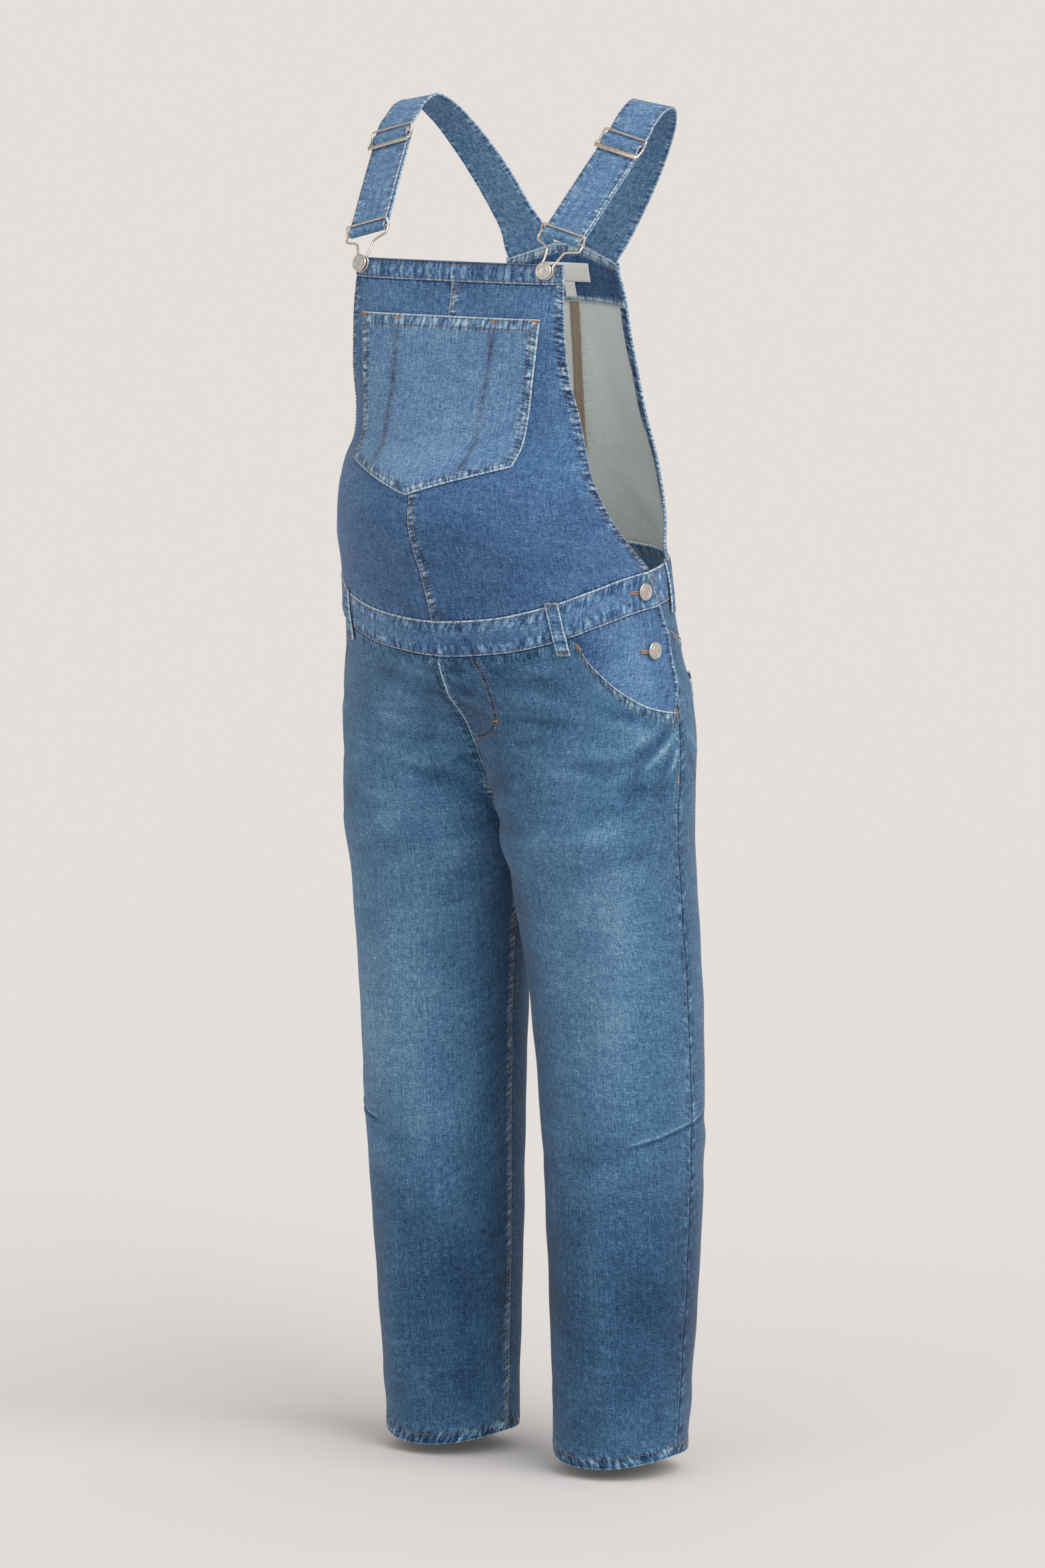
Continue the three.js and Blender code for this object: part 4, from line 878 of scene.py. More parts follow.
def seam_wear_and_shade(n, rope, seam):
    """Wear and painted shade by the seams: tone to add to the colour, with painted shade in the stitch
    grooves and along tucked edges, and height of the roping and stitch grooves.
    """
    along, away, strength = n.separate(rope)[:3]
    reach, rim, rows = n.separate(seam)[:3]
    beyond = n.minus(away, reach)
    slant = n.plus(along, n.times(away, 0.06))
    ribs = n.noise(n.combine(slant, n.times(away, 0.075)), 1.0, 3.0, 0.62)
    ribs = n.range(ribs, 0.37, 0.63, -1.0, 1.0)
    within = n.times(n.range(beyond, 1.5, -0.5), strength)
    near = n.times(n.range(beyond, 9.0, 0.0), strength)
    roped = n.times(ribs, n.plus(n.times(within, 0.25), n.times(near, 0.15)))
    fray = n.noise(n.combine(n.times(along, 2.2), 0.5), 1.0, 2.0)
    # worn: a light worn rim where rim is above 0; below 0, along tucked edges, a painted shadow line
    worn = n.times(rim, n.range(fray, 0.3, 0.6, 0.55, 1.1))
    worn = n.times(n.range(away, FIRST_ROW, 0.9), worn)
    first = n.times(n.near(away, FIRST_ROW), n.math("MINIMUM", rows, 1.0))
    second = n.times(n.near(beyond, -1.3), n.math("SUBTRACT", rows, 1.0, clamp=True))
    groove = n.plus(first, second)
    # the stitch grooves are painted darker: painted shade
    tone = n.minus(n.plus(roped, worn), n.times(groove, 0.17))
    height = n.minus(n.times(n.times(ribs, near), 0.32), n.times(groove, 0.35))
    return tone, height


def denim_material(name, stops, shade=0.0, mottling=0.30):
    n = Nodes(name)
    cloth = n.attribute("cloth", vector=True)
    warp = n.noise(n.stretched(cloth, (760, 120, 1)), 1.0, 2.0)
    weft = n.noise(n.stretched(cloth, (150, 640, 1)), 1.0, 2.0)
    slub = n.noise(n.stretched(cloth, (520, 16, 1)), 1.0, 3.0)
    crinkle = n.noise(n.stretched(cloth, (34, 105, 1)), 1.0, 3.0, 0.6)
    mottle = n.noise(cloth, 190.0, 3.0, 0.6)
    cloud = n.noise(cloth, 15.0, 3.0)
    grain = n.noise(cloth, 560.0, 2.0, 0.7)
    fine = n.noise(cloth, 1500.0, 2.0, 0.7)
    # the seams' tone holds their wear and their painted shade
    wear, relief = seam_wear_and_shade(n, n.attribute("rope", vector=True), n.attribute("seam", vector=True))
    value = n.plus(0.40 + shade, n.plus(n.attribute("tone"), wear))
    for part, weight in ((warp, 0.50), (weft, 0.40), (slub, 0.30), (crinkle, 0.26), (mottle, mottling),
                         (cloud, 0.20), (grain, 0.72), (fine, 0.46)):
        value = n.plus(value, n.times(n.minus(part, 0.5), weight))
    yarns = n.plus(warp, weft)
    pale = n.plus(n.times(yarns, 0.3), n.times(grain, 0.5))
    wrong_side = n.ramp(n.minus(pale, 0.05), WRONG_SIDE)
    twill = n.plus(yarns, n.times(n.plus(grain, fine), 0.8))
    height = n.plus(n.times(twill, 0.22), relief, n.times(crinkle, 0.5))
    return n.finish(Base_Color=n.mix(n.attribute("inside"), n.ramp(value, stops), wrong_side),
                    Roughness=0.9, Sheen_Weight=0.16, Sheen_Roughness=0.5, Specular_IOR_Level=0.15,
                    Normal=n.bump(height, 0.8, 0.001))


def thread_material(name, color):
    n = Nodes(name)
    place = n.place()
    fibre = n.noise(place, 2500.0, 2.0)
    patch = n.noise(place, 60.0, 2.0)
    dark = tuple(0.6 * c for c in color)
    light = tuple(min(1, 1.35 * c) for c in color)
    share = n.range(n.plus(n.times(fibre, 0.5), n.times(patch, 0.5)), 0.35, 0.65)
    return n.finish(Base_Color=n.mix(share, dark, light), Roughness=0.6, Sheen_Weight=0.2,
                    Normal=n.bump(fibre, 0.4, 0.0003))


def metal_material(name, color, roughness):
    n = Nodes(name)
    place = n.place()
    scratch = n.noise(n.stretched(place, (900, 900, 240)), 1.0, 3.0)
    stain = n.noise(place, 240.0, 3.0)
    dull = tuple(0.72 * c for c in color)
    return n.finish(Base_Color=n.mix(n.range(stain, 0.35, 0.7), color, dull), Metallic=1.0,
                    Roughness=n.range(scratch, 0.3, 0.7, roughness - 0.08, roughness + 0.12),
                    Normal=n.bump(scratch, 0.12, 0.0002))


def tape_material(name, dark, light):
    n = Nodes(name)
    weave = n.noise(n.stretched(n.place(), (2600, 2600, 900)), 1.0, 2.0)
    return n.finish(Base_Color=n.mix(n.range(weave, 0.35, 0.65), dark, light), Roughness=0.75,
                    Normal=n.bump(weave, 0.3, 0.0003))


def plain_material(name, color):
    return Nodes(name).finish(Base_Color=(*color, 1), Roughness=0.95, Specular_IOR_Level=0.0)


DENIM = denim_material("bib_denim", BIB_STOPS)
DENIM_LEG = denim_material("leg_denim", LEG_STOPS)
DENIM_POCKET = denim_material("pocket_denim", BIB_STOPS, 0.10)
DENIM_BAND = denim_material("band_denim", BIB_STOPS, 0.05, 0.55)
TAN_THREAD = thread_material("tan_thread", (0.31, 0.19, 0.125))
BLUE_THREAD = thread_material("blue_thread", (0.10, 0.17, 0.28))
ORANGE_THREAD = thread_material("orange_thread", (0.50, 0.24, 0.10))
PALE_THREAD = thread_material("overlock_thread", (0.42, 0.33, 0.24))
LABEL = tape_material("label_tape", (0.80, 0.82, 0.79), (0.92, 0.93, 0.90))
TAPE = tape_material("brown_seam_tape", (0.24, 0.175, 0.125), (0.46, 0.36, 0.28))
WIRE_METAL = metal_material("champagne_wire", (0.80, 0.68, 0.58), 0.24)
BUTTON_METAL = metal_material("button_metal", (0.72, 0.68, 0.63), 0.32)

tan = Thread()
blue = Thread()
orange = Thread()
overlock = Thread()

SEAM = {"rope": 0.75, "puck": 0.22, "rim": 0.2, "rows": 0}
# TUCKED and FINE_SEAM: their rim below 0 is a painted shadow line along an edge that lies under its
# neighbour
TUCKED = {"rope": 0.6, "puck": 0.3, "rim": -0.32, "rows": 0, "reach": 1.5}
FINE_SEAM = {"rope": 0.45, "puck": 0.12, "rim": -0.2, "rows": 0, "reach": 2.0}
HEM_EDGE = {"rope": 1.0, "hem": HEM_HEIGHT, "puck": 0.5, "rim": 0.3, "rows": 2, "pitch": 11.0}
ARMHOLE = {"rope": 1.1, "hem": 8.5, "puck": 0.28, "rim": 0.42, "rows": 2}
FELL = {"rope": 1.1, "fell": 8.0, "puck": 0.3, "rim": 0.5, "rows": 2, "tone": 0.07}
PATCH_EDGE = {"rope": 1.0, "hem": 8.5, "puck": 0.3, "rim": 0.45, "rows": 2}


def on_body(z, angle):
    return body(z, angle), body_normal(z, angle)


def body_cloth(z, angle, **how):
    points, normals = on_body(z, angle)
    return Cloth(points, normals, z, angle, **how)


def grid(rows, columns):
    return np.meshgrid(columns, rows)


def from_back(across, turn):
    """The angle at a turn from centre back, on the wearer's right where across is below 0."""
    return np.where(across < 0, -1, 1) * (BACK - turn)


def bump_at(value, middle, width):
    return np.exp(-(((value - middle) / width) ** 2))


def sew(cloth, edges, rows, thread=tan, **how):
    """Rows of stitching, at each distance in rows from each of the edges."""
    for edge in edges:
        for away in rows:
            thread.run(cloth.line(edge, away, **how))


def sew_patch(pocket, clear):
    """The double row round the sides and foot of a pocket, which begins clear of its corners."""
    for away, inset in ((FIRST_ROW, clear), (7.2, clear + 5.0)):
        sew(pocket, ("left", "right", "bottom"), [away], start=inset, end=-inset)


# Bib

def make_bib_half(side, word, seed):
    columns = spaced(150, 3.0, (0.0, 0.7, 3.0))
    rows = spaced(330, 3.0, (0.0, 0.7, 2.2))
    u, v = grid(rows, columns)
    low = waist_top(SIDE * u)
    z = (BAND_LINE - SEAM_GAP / 2) + (low + SEAM_GAP / 2 - BAND_LINE) * v
    angle = side * u * FRONT(z)[..., 4]
    edges = {"left": FELL if side > 0 else FINE_SEAM, "right": ARMHOLE, "top": TUCKED,
             "bottom": TUCKED}
    half = body_cloth(z, angle, edges=edges, seed=seed, tone=-0.03)
    half.make(f"bib_cloth_{word}", DENIM, "denim", f"bib_front_{word}")
    half.declare(rests_on=["waistband_front_cloth"])
    sew(half, ["right"], (FIRST_ROW, 7.2))
    if side > 0:
        sew(half, ["left"], (FIRST_ROW, 6.7))


def make_bib_band():
    columns = np.linspace(-1, 1, 96)
    rows = np.array([0, 0.03, 0.1, 0.2, 0.32, 0.44, 0.56, 0.68, 0.8, 0.9, 0.97, 1.0])
    u, v = grid(rows, columns)
    z = BIB_TOP + (BAND_LINE + SEAM_GAP / 2 - BIB_TOP) * v
    angle = u * FRONT(z)[..., 4]
    end = {"rope": 0.8, "reach": 8.5, "rows": 2}
    edges = {"top": {"rope": 0.65, "puck": 0.35, "rim": -0.15, "reach": 9.0, "pitch": 8.0},
             "bottom": {"rope": 0.75, "puck": 0.5, "rim": 0.3, "reach": 9.0, "pitch": 8.0},
             "left": end, "right": end}
    band = body_cloth(z, angle, lift=BAND_PROUD, thick=BAND_CLOTH, edges=edges, seed=3, inside=0.0,
                      tone=0.02)
    band.make("bib_band_cloth", DENIM_BAND, "denim", "bib_top_band")
    band.declare(rests_on=["bib_cloth_left", "bib_cloth_right"])
    sew(band, ["top"], [2.8])
    sew(band, ["bottom"], [FIRST_ROW])
    sew(band, ("left", "right"), (FIRST_ROW, 7.2))
    # the corded top edge: short dark stitches over the fold
    points, normals = band.line("top", 0.3)
    blue.run((points + [0, 0, 0.2], normals), pitch=2.1, length=1.7, radius=0.75, sink=0.2)


POCKET_COLUMNS = np.unique(np.concatenate([np.linspace(-1, 1, 72), [-0.993, 0.993, -0.97, 0.97]]))
POCKET_TOP, POCKET_TOP_HALF = -202.0, 104.0
POCKET_LOW, POCKET_LOW_HALF, POCKET_POINT = -342.0, 94.0, -370.0
POCKET_GAP = 1.3

# Slanted rows that part the pocket: share across it at the top and at the foot
POCKET_ROWS = [(-0.54, -0.60), (0.54, 0.525)]


def bib_angle(x, z):
    ring = FRONT(z)
    share = np.minimum(1, np.abs(x) / ring[..., 0])
    return np.sign(x) * np.degrees(np.arcsin(share ** (ring[..., 3] / 2)))


def pocket_share(share):
    """The share of the pocket's columns at a share of its width."""
    return np.interp(share, (POCKET_COLUMNS + 1) / 2, np.linspace(0, 1, len(POCKET_COLUMNS)))


def make_bib_pocket():
    u, v = grid(spaced(150, 2.8, (0.0, 0.7, 2.0)), POCKET_COLUMNS)
    low = POCKET_POINT + (POCKET_LOW - POCKET_POINT) * np.abs(u)
    z = POCKET_TOP + (low - POCKET_TOP) * v
    down = np.minimum(1, (POCKET_TOP - z) / (POCKET_TOP - POCKET_LOW))
    half = POCKET_TOP_HALF + (POCKET_LOW_HALF - POCKET_TOP_HALF) * down
    angle = bib_angle(u * half - 3.0 * v, z)
    edges = {"left": PATCH_EDGE, "right": PATCH_EDGE, "bottom": PATCH_EDGE,
             "top": {"rope": 0.85, "hem": 12.0, "puck": 0.3, "rim": 0.4, "rows": 2}}
    sag = 1.6 * bump_at(v, 0.06, 0.09) * (1 - u**2)
    worn = np.zeros(u.shape)
    for top, foot in POCKET_ROWS:
        middle = top + (foot - top) * v
        blotch = 0.6 + 0.4 * np.sin(v * 74 + 5 * np.sin(v * 23 + top))
        worn -= 0.30 * blotch * bump_at(u, middle, 0.03) * smooth(0.05, 0.1, v)
    pocket = body_cloth(z, angle, lift=POCKET_GAP + PATCH, thick=PATCH - 0.4, edges=edges, seed=4,
                        tone=0.05 + worn, extra=sag)
    pocket.make("bib_pocket_cloth", DENIM_POCKET, "denim_light", "bib_pocket")
    pocket.declare(rests_on=["bib_cloth_left", "bib_cloth_right"])
    sew_patch(pocket, 3.0)
    sew(pocket, ["top"], (FIRST_ROW, 10.7), start=2.0, end=-2.0)
    down = np.linspace(0.08, 0.94, 60)
    for aside in (-0.024, 0.024):
        for top, foot in POCKET_ROWS:
            shares = (1 + aside + top + (foot - top) * down) / 2
            tan.run(pocket.path(zip(pocket_share(shares), down)))
    for u0, v0 in ((0.23, 0.045), (0.77, 0.045), (0.02, 0.03), (0.98, 0.03)):
        u0 = float(pocket_share(u0))
        orange.tack(pocket.path([(u0 - 0.02, v0), (u0, v0), (u0 + 0.02, v0)]))


# Back bib

PEAK_HALF, PEAK_Z = 14.0, -141.0
CORNER_HALF, CORNER_Z = 66.7, -158.0
WAIST_BACK_Z = -436.0
FACING_LOW = -199.0


def back_top_z(x):
    k = np.clip((np.abs(x) - PEAK_HALF) / (CORNER_HALF - PEAK_HALF), 0, 1)
    return PEAK_Z + (CORNER_Z - PEAK_Z) * k


def make_back_half(side, word, seed):
    columns = spaced(110, 3.0, (0.0, 0.7, 3.0))
    rows = spaced(290, 3.0, (0.0, 0.7, 2.2))
    u, v = grid(rows, columns)
    top = back_top_z(u * CORNER_HALF)
    edge = REAR(np.array(WAIST_BACK_Z))[..., 3]
    low = waist_top(BACK - u * edge) + LAY_GAP
    z = top + (low - top) * v
    angle = side * (BACK - u * REAR(z)[..., 3])
    edges = {"left": FELL if side > 0 else FINE_SEAM, "right": dict(ARMHOLE, hem=12.0),
             "top": {"rope": 0.8, "hem": 7.0, "puck": 0.3, "rim": 0.35}, "bottom": TUCKED}
    half = body_cloth(z, angle, edges=edges, seed=seed, tone=-0.04)
    half.make(f"back_bib_cloth_{word}", DENIM, "denim", f"back_bib_{word}")
    half.declare(rests_on=["waistband_back_cloth"])
    sew(half, ["right"], (FIRST_ROW, 10.7))
    sew(half, ["top"], [FIRST_ROW])
    if side > 0:
        sew(half, ["left"], (FIRST_ROW, 6.7))


def inside_cloth(z, angle, depth, thick, **how):
    """Cloth on the inside of the back: its right side looks forwards, into the garment."""
    points, normals = on_body(z, angle)
    points = points - normals * depth + normals * creases(z, angle)[..., None]
    return Cloth(points, -normals, z, angle, thick=thick, relief=False, **how)


def make_facing():
    columns = np.linspace(-0.985, 0.985, 60)
    rows = [0.02, 0.04, 0.08, 0.14, 0.22, 0.3, 0.4, 0.5, 0.6, 0.7, 0.8, 0.87, 0.93, 0.97, 1.0]
    u, v = grid(rows, columns)
    top = back_top_z(u * CORNER_HALF)
    z = top + (FACING_LOW - 4 * u**2 - top) * v
    angle = from_back(u, np.abs(u) * REAR(z)[..., 3])
    # The light bands at the facing's top and bottom are partly their own colour and partly painted light,
    # brightened against the shade inside the back.
    edges = {"top": {"rope": 1.0, "puck": 0.5, "reach": 8.0, "rim": 0.5, "rows": 2, "tone": 0.52},
             "bottom": {"rope": 0.9, "puck": 0.6, "reach": 5.5, "rim": 0.5, "rows": 1, "tone": 0.70},
             "left": SEAM, "right": SEAM}
    drag = 0.8 * np.sin(u * 9 + v * 5) * v * (1 - v) * 4
    facing = inside_cloth(z, angle, CLOTH + LAY_GAP + THIN_CLOTH, THIN_CLOTH, edges=edges, seed=7,
                          inside=0.0, tone=-0.12, extra=drag)
    facing.make("back_facing_cloth", DENIM, "denim", "back_facing")
    facing.declare(rests_on=["back_bib_cloth_left", "back_bib_cloth_right"])
    sew(facing, ["top"], [6.7])
    sew(facing, ["bottom"], [FIRST_ROW])


def make_label(name, node, half, top, bottom, out):
    u, v = grid(np.linspace(0, 1, 9), np.linspace(-1, 1, 17))
    z = top + (bottom - top) * v
    angle = from_back(u, np.degrees(np.arcsin(np.abs(u * half) / REAR(z)[..., 0])))
    depth = CLOTH + THIN_CLOTH + 2 * LAY_GAP + 0.5 + out
    tape = inside_cloth(z, angle, depth, 0.5, inside=0.0, pinch=0.1)
    tape.make(name, LABEL, "label", node)
    tape.declare(rests_on=["back_facing_cloth"])


TAPE_TOP, TAPE_FOOT = -195.0, -432.0


def make_back_tape():
    """The overlocked centre back seam on the inside."""
    u, v = grid(np.linspace(0, 1, 90), np.linspace(-1, 1, 7))
    z = TAPE_TOP + (TAPE_FOOT - TAPE_TOP) * v
    angle = from_back(u, np.abs(u) * 2.0)
    tape = inside_cloth(z, angle, CLOTH + 0.75, 0.7, inside=0.0, seed=9)
    tape.make("centre_back_tape", TAPE, "denim")
    tape.declare(rests_on=["back_bib_cloth_left", "back_bib_cloth_right"])
    for edge in ("left", "right"):
        overlock.run(tape.line(edge, 1.4), pitch=1.5, length=1.9, radius=0.45)


# Waistband

BAND_ROWS = [0, 0.02, 0.07, 0.13, 0.2, 0.28, 0.37, 0.46, 0.55, 0.64, 0.73, 0.81, 0.88, 0.94, 0.98, 1]
BAND_COLUMNS = 205
LAP = 2.9                           # how far the front band's ends stand over the back band


def make_waistband():
    """The front band's ends slant and lap over the ends of the back band."""
    share, v = grid(BAND_ROWS, np.linspace(-1, 1, BAND_COLUMNS))
    end_angle = 88.0 + 5.2 * v
    turn = np.linspace(SIDE + 0.1, 2 * BACK - SIDE - 0.1, BAND_COLUMNS) + 0 * v
    angles = {"front": share * end_angle, "back": np.where(turn > BACK, turn - 2 * BACK, turn)}
    below = {"front": "leg_front_cloth", "back": "yoke_cloth"}
    band_edge = {"rope": 0.66, "puck": 0.5, "rim": 0.5, "reach": 11.0, "rows": 1, "pitch": 8.0}
    end = {"rope": 0.6, "hem": 4, "rim": 0.4}
    edges = {"top": band_edge, "bottom": band_edge, "left": end, "right": end}
    for seed, (word, angle) in enumerate(angles.items(), 10):
        z = waist_top(angle) - SEAM_GAP / 2 - WAISTBAND_HEIGHT * v
        sag = 0.5 * np.sin(angle * 0.9 + 6 * v) * np.sin(np.pi * v)
        tone = 0.05
        if word == "front":
            sag = sag + LAP * smooth(86.5, 88.5, np.abs(angle))
            from_end = (end_angle - np.abs(angle)) * MM_PER_DEGREE
            tone = 0.03 + 0.34 * smooth(4.4, 2.6, from_end)
        band = body_cloth(z, angle, lift=BAND_PROUD, thick=BAND_CLOTH, edges=edges, seed=seed,
                          inside=0.0, extra=sag, tone=tone)
        band.make(f"waistband_{word}_cloth", DENIM_BAND, "denim", f"waistband_{word}")
        band.declare(rests_on=[f"{below[word]}_left", f"{below[word]}_right"])
        sew(band, EDGE_NAMES, [FIRST_ROW])
    # the row that holds the gathers inside the back, which is the last band made
    points, normals = band.line("top", 7.5)
    orange.run((points - normals * (BAND_CLOTH + 0.3), -normals))


# Legs

def leg_rows(length):
    """Places down a leg, closer by the waist, at the knee dart and above the hem."""
    stretches = ([0, 0.7, 2.4], np.arange(5, 116, 2.5), np.arange(118, 438, 4.0),
                 np.arange(440, 494, 1.7), np.arange(496, length - 34, 4.2),
                 np.arange(length - 33, length - 2, 1.9), [length - 0.8, length])
    return np.concatenate(stretches) / length


LEG_COLUMNS = spaced(235, 3.0, (0.0, 0.7, 3.0, 6.0))
HEM_ROW = 10.2


def make_leg_front(side, word, seed):
    u, v = grid(leg_rows(830), LEG_COLUMNS)
    turn = u * SIDE
    top = np.where(turn <= POCKET_START, waist_low(turn), POCKET_LINE(turn)[..., 0])
    z = top + (hem_z(turn) - top) * v
    angle = side * turn
    inseam = smooth(-640, -665, z)
    opening = smooth(POCKET_START - 0.5, POCKET_START + 0.5, turn[0])
    edges = {"left": {"rope": 0.5 + 0.4 * inseam, "fell": 7.5, "puck": 0.25, "rim": 0.62,
                      "rows": 2, "tone": 0.25 * inseam},
             "right": {"rope": 0.5, "puck": 0.25, "rim": 0.34, "rows": 0, "reach": 6.0,
                       "pitch": 13.0},
             "top": {"rope": 0.5 + 0.4 * opening, "hem": 9.5, "puck": 0.25, "rim": 0.65, "rows": 2,
                     "only": opening},
             "bottom": HEM_EDGE}
    leg = body_cloth(z, angle, edges=edges, seed=seed, upright=True)
    leg.make(f"leg_front_cloth_{word}", DENIM_LEG, "denim", f"leg_front_{word}")
    leg.declare(held="hung", rests_on=["waistband_front_cloth"])
    sew(leg, ["bottom"], [HEM_ROW])
    sew(leg, ["left"], (FIRST_ROW, 6.2), start=150.0, end=-12.0)
    pocket_start = leg.cu[0, int(0.54 * leg.shape[1])]
    sew(leg, ["top"], (FIRST_ROW, 8.2), start=pocket_start, end=-1.0)
    sew(leg, ["right"], [1.6], blue, start=2.0, end=-12.0)


def make_leg_back(side, word, seed):
    u, v = grid(leg_rows(815), LEG_COLUMNS)
    turn = BACK - u * (SIDE - 0.05)
    top = YOKE_LINE(turn)[..., 0] - SEAM_GAP / 2
    z = top + (hem_z(turn) - top) * v
    angle = side * turn
    edges = {"left": FINE_SEAM, "top": FELL, "bottom": HEM_EDGE,
             # the outseam's rim below 0 is a painted shadow line beside the seam
             "right": {"rope": 0.6, "puck": 0.25, "rim": -0.3, "rows": 0, "reach": 7.0,
                       "pitch": 16.0}}
    leg = body_cloth(z, angle, edges=edges, seed=seed, tone=-0.04, upright=True)
    leg.make(f"leg_back_cloth_{word}", DENIM_LEG, "denim", f"leg_back_{word}")
    leg.declare(held="hung", rests_on=[f"yoke_cloth_{word}"])
    sew(leg, ["bottom"], [HEM_ROW])
    sew(leg, ["top"], (FIRST_ROW, 6.7))
    if side > 0:
        sew(leg, ["left"], (FIRST_ROW, 6.7), start=2.0, end=130.0)


def make_yoke(side, word, seed):
    columns = spaced(250, 3.2, (0.0, 0.7, 3.0))
    rows = spaced(70, 3.0)
    u, v = grid(rows, columns)
    turn = BACK - u * (SIDE - 0.05)
    top = waist_low(turn)
    z = top + (YOKE_LINE(turn)[..., 0] + SEAM_GAP / 2 - top) * v
    edges = {"left": SEAM, "right": SEAM, "top": TUCKED, "bottom": TUCKED}
    yoke = body_cloth(z, side * turn, edges=edges, seed=seed)
    yoke.make(f"yoke_cloth_{word}", DENIM_LEG, "denim", f"yoke_{word}")
    yoke.declare(rests_on=["waistband_back_cloth"])


def make_bearer(side, word, seed):
    """The hip pocket's bearer, whose back edge is the placket that laps over the side."""
    u, v = grid(spaced(110, 3.0), spaced(170, 3.0))
    end = np.interp(v, (0.0, 0.3, 0.55, 0.8, 1.0), (93.6, 96.5, 94.5, 91.2, 89.4))
    turn = 36 + (end - 36) * u
    top = waist_low(turn)
    low = POCKET_LINE(np.maximum(turn, POCKET_START))[..., 0] - 14 * smooth(90.5, 86, turn)
    z = top + (low - top) * v
    edges = {"right": {"rope": 0.9, "hem": 7.0, "puck": 0.25, "rim": 0.42, "rows": 2},
             "top": TUCKED, "bottom": FINE_SEAM}
    from_end = (end - turn) * MM_PER_DEGREE
    rise = (CLOTH + LAY_GAP + 2.4) * smooth(81, 90, turn) * smooth(0.0, 0.3, 1 - v)
    fold = 0.34 * smooth(4.6, 2.8, from_end) - 0.14 * bump_at(from_end, 8.5, 2.4)
    # shade: painted shadow darkens the bearer towards the hip pocket's opening, under its edge; it is a
    # little lighter from 66 to 74 degrees round
    shade = 0.05 * smooth(56, 66, turn) * smooth(84, 74, turn) - 0.10 * smooth(60, 46, turn)
    bearer = body_cloth(z, side * turn, lift=-CLOTH - LAY_GAP, thick=THIN_CLOTH, edges=edges,
                        seed=seed, tone=fold + shade, extra=rise)
    bearer.make(f"pocket_bearer_cloth_{word}", DENIM, "denim", f"pocket_bearer_{word}")
    bearer.declare(rests_on=["waistband_front_cloth"])
    sew(bearer, ["right"], (FIRST_ROW, 5.7), start=1.0, end=-8.0)


BACK_POCKET = {"inner": 163.0, "outer": 119.0, "top": -556.0, "side": -680.0, "point": -696.0}


def make_back_pocket(side, word, seed):
    u, v = grid(spaced(142, 2.8, (0.0, 0.7, 2.0)), spaced(128, 2.8, (0.0, 0.7, 2.0)))
    middle = 1 - np.abs(2 * u - 1)
    low = BACK_POCKET["side"] + (BACK_POCKET["point"] - BACK_POCKET["side"]) * middle
    top = BACK_POCKET["top"] + 8 * (u - 0.5)
    z = top + (low - top) * v
    inner = BACK_POCKET["inner"] - 2 * v
    outer = BACK_POCKET["outer"] + 2 * v
    turn = inner + (outer - inner) * u
    edges = {"left": PATCH_EDGE, "right": PATCH_EDGE, "bottom": PATCH_EDGE,
             "top": {"rope": 0.85, "hem": 14.0, "puck": 0.3, "rim": 0.4, "rows": 2}}
    sag = bump_at(v, 0.0, 0.12) * np.sin(np.pi * u)
    pocket = body_cloth(z, side * turn, lift=LAY_GAP + PATCH, thick=PATCH - 0.4, edges=edges,
                        seed=seed, tone=0.06, extra=sag)
    pocket.make(f"back_pocket_cloth_{word}", DENIM_POCKET, "denim_light", f"back_pocket_{word}")
    pocket.declare(rests_on=[f"leg_back_cloth_{word}"])
    sew_patch(pocket, 2.0)
    sew(pocket, ["top"], (FIRST_ROW, 12.7), start=2.0, end=-2.0)
    for u0 in (0.03, 0.97):
        orange.tack(pocket.path([(u0, 0.02), (u0, 0.05), (u0, 0.09)]), length=9.0)


LOOP_WIDTH, LOOP_THICK, LOOP_STAND = 12.5, 1.8, 1.2
LOOP_ABOVE, LOOP_BELOW = 3.0, 14.0
LOOPS = [("front_left", 44), ("front_right", -44), ("side_left", 106), ("side_right", -106),
         ("back", 180)]


def make_loop(word, angle, seed):
    ring = body(waist_top(angle), angle)
    radius = math.hypot(ring[0], ring[1] + 52)
    half = math.degrees(LOOP_WIDTH / 2 / radius)
    u, v = grid(spaced(54, 1.6, (0.0, 0.5)), np.linspace(-1, 1, 11))
    length = LOOP_ABOVE + WAISTBAND_HEIGHT + SEAM_GAP + LOOP_BELOW
    z = waist_top(angle) + LOOP_ABOVE - length * v
    place = angle + u * half
    place = np.where(place > BACK, place - 2 * BACK, place)
    lift = BAND_PROUD + SEAM_GAP + LOOP_THICK
    bow = LOOP_STAND * np.sin(np.pi * v)
    side_edge = {"rope": 0.8, "hem": 3.5, "rim": 0.5}
    edges = {"left": side_edge, "right": side_edge, "top": SEAM, "bottom": SEAM}
    loop = body_cloth(z, place, lift=lift, thick=LOOP_THICK - 0.6, edges=edges, seed=seed, extra=bow,
                      tone=0.06, inside=0.0)
    loop.make(f"belt_loop_cloth_{word}", DENIM_BAND, "denim", f"belt_loop_{word}")
    band = "front" if abs(angle) < SIDE else "back"
    loop.declare(rests_on=[f"waistband_{band}_cloth"])
    sew(loop, ("left", "right"), [2.6], blue)
    for share in (0.045, 0.955):
        tan.tack(loop.path([(0.2, share), (0.5, share), (0.8, share)]), length=10.5, width=1.5)


# Straps

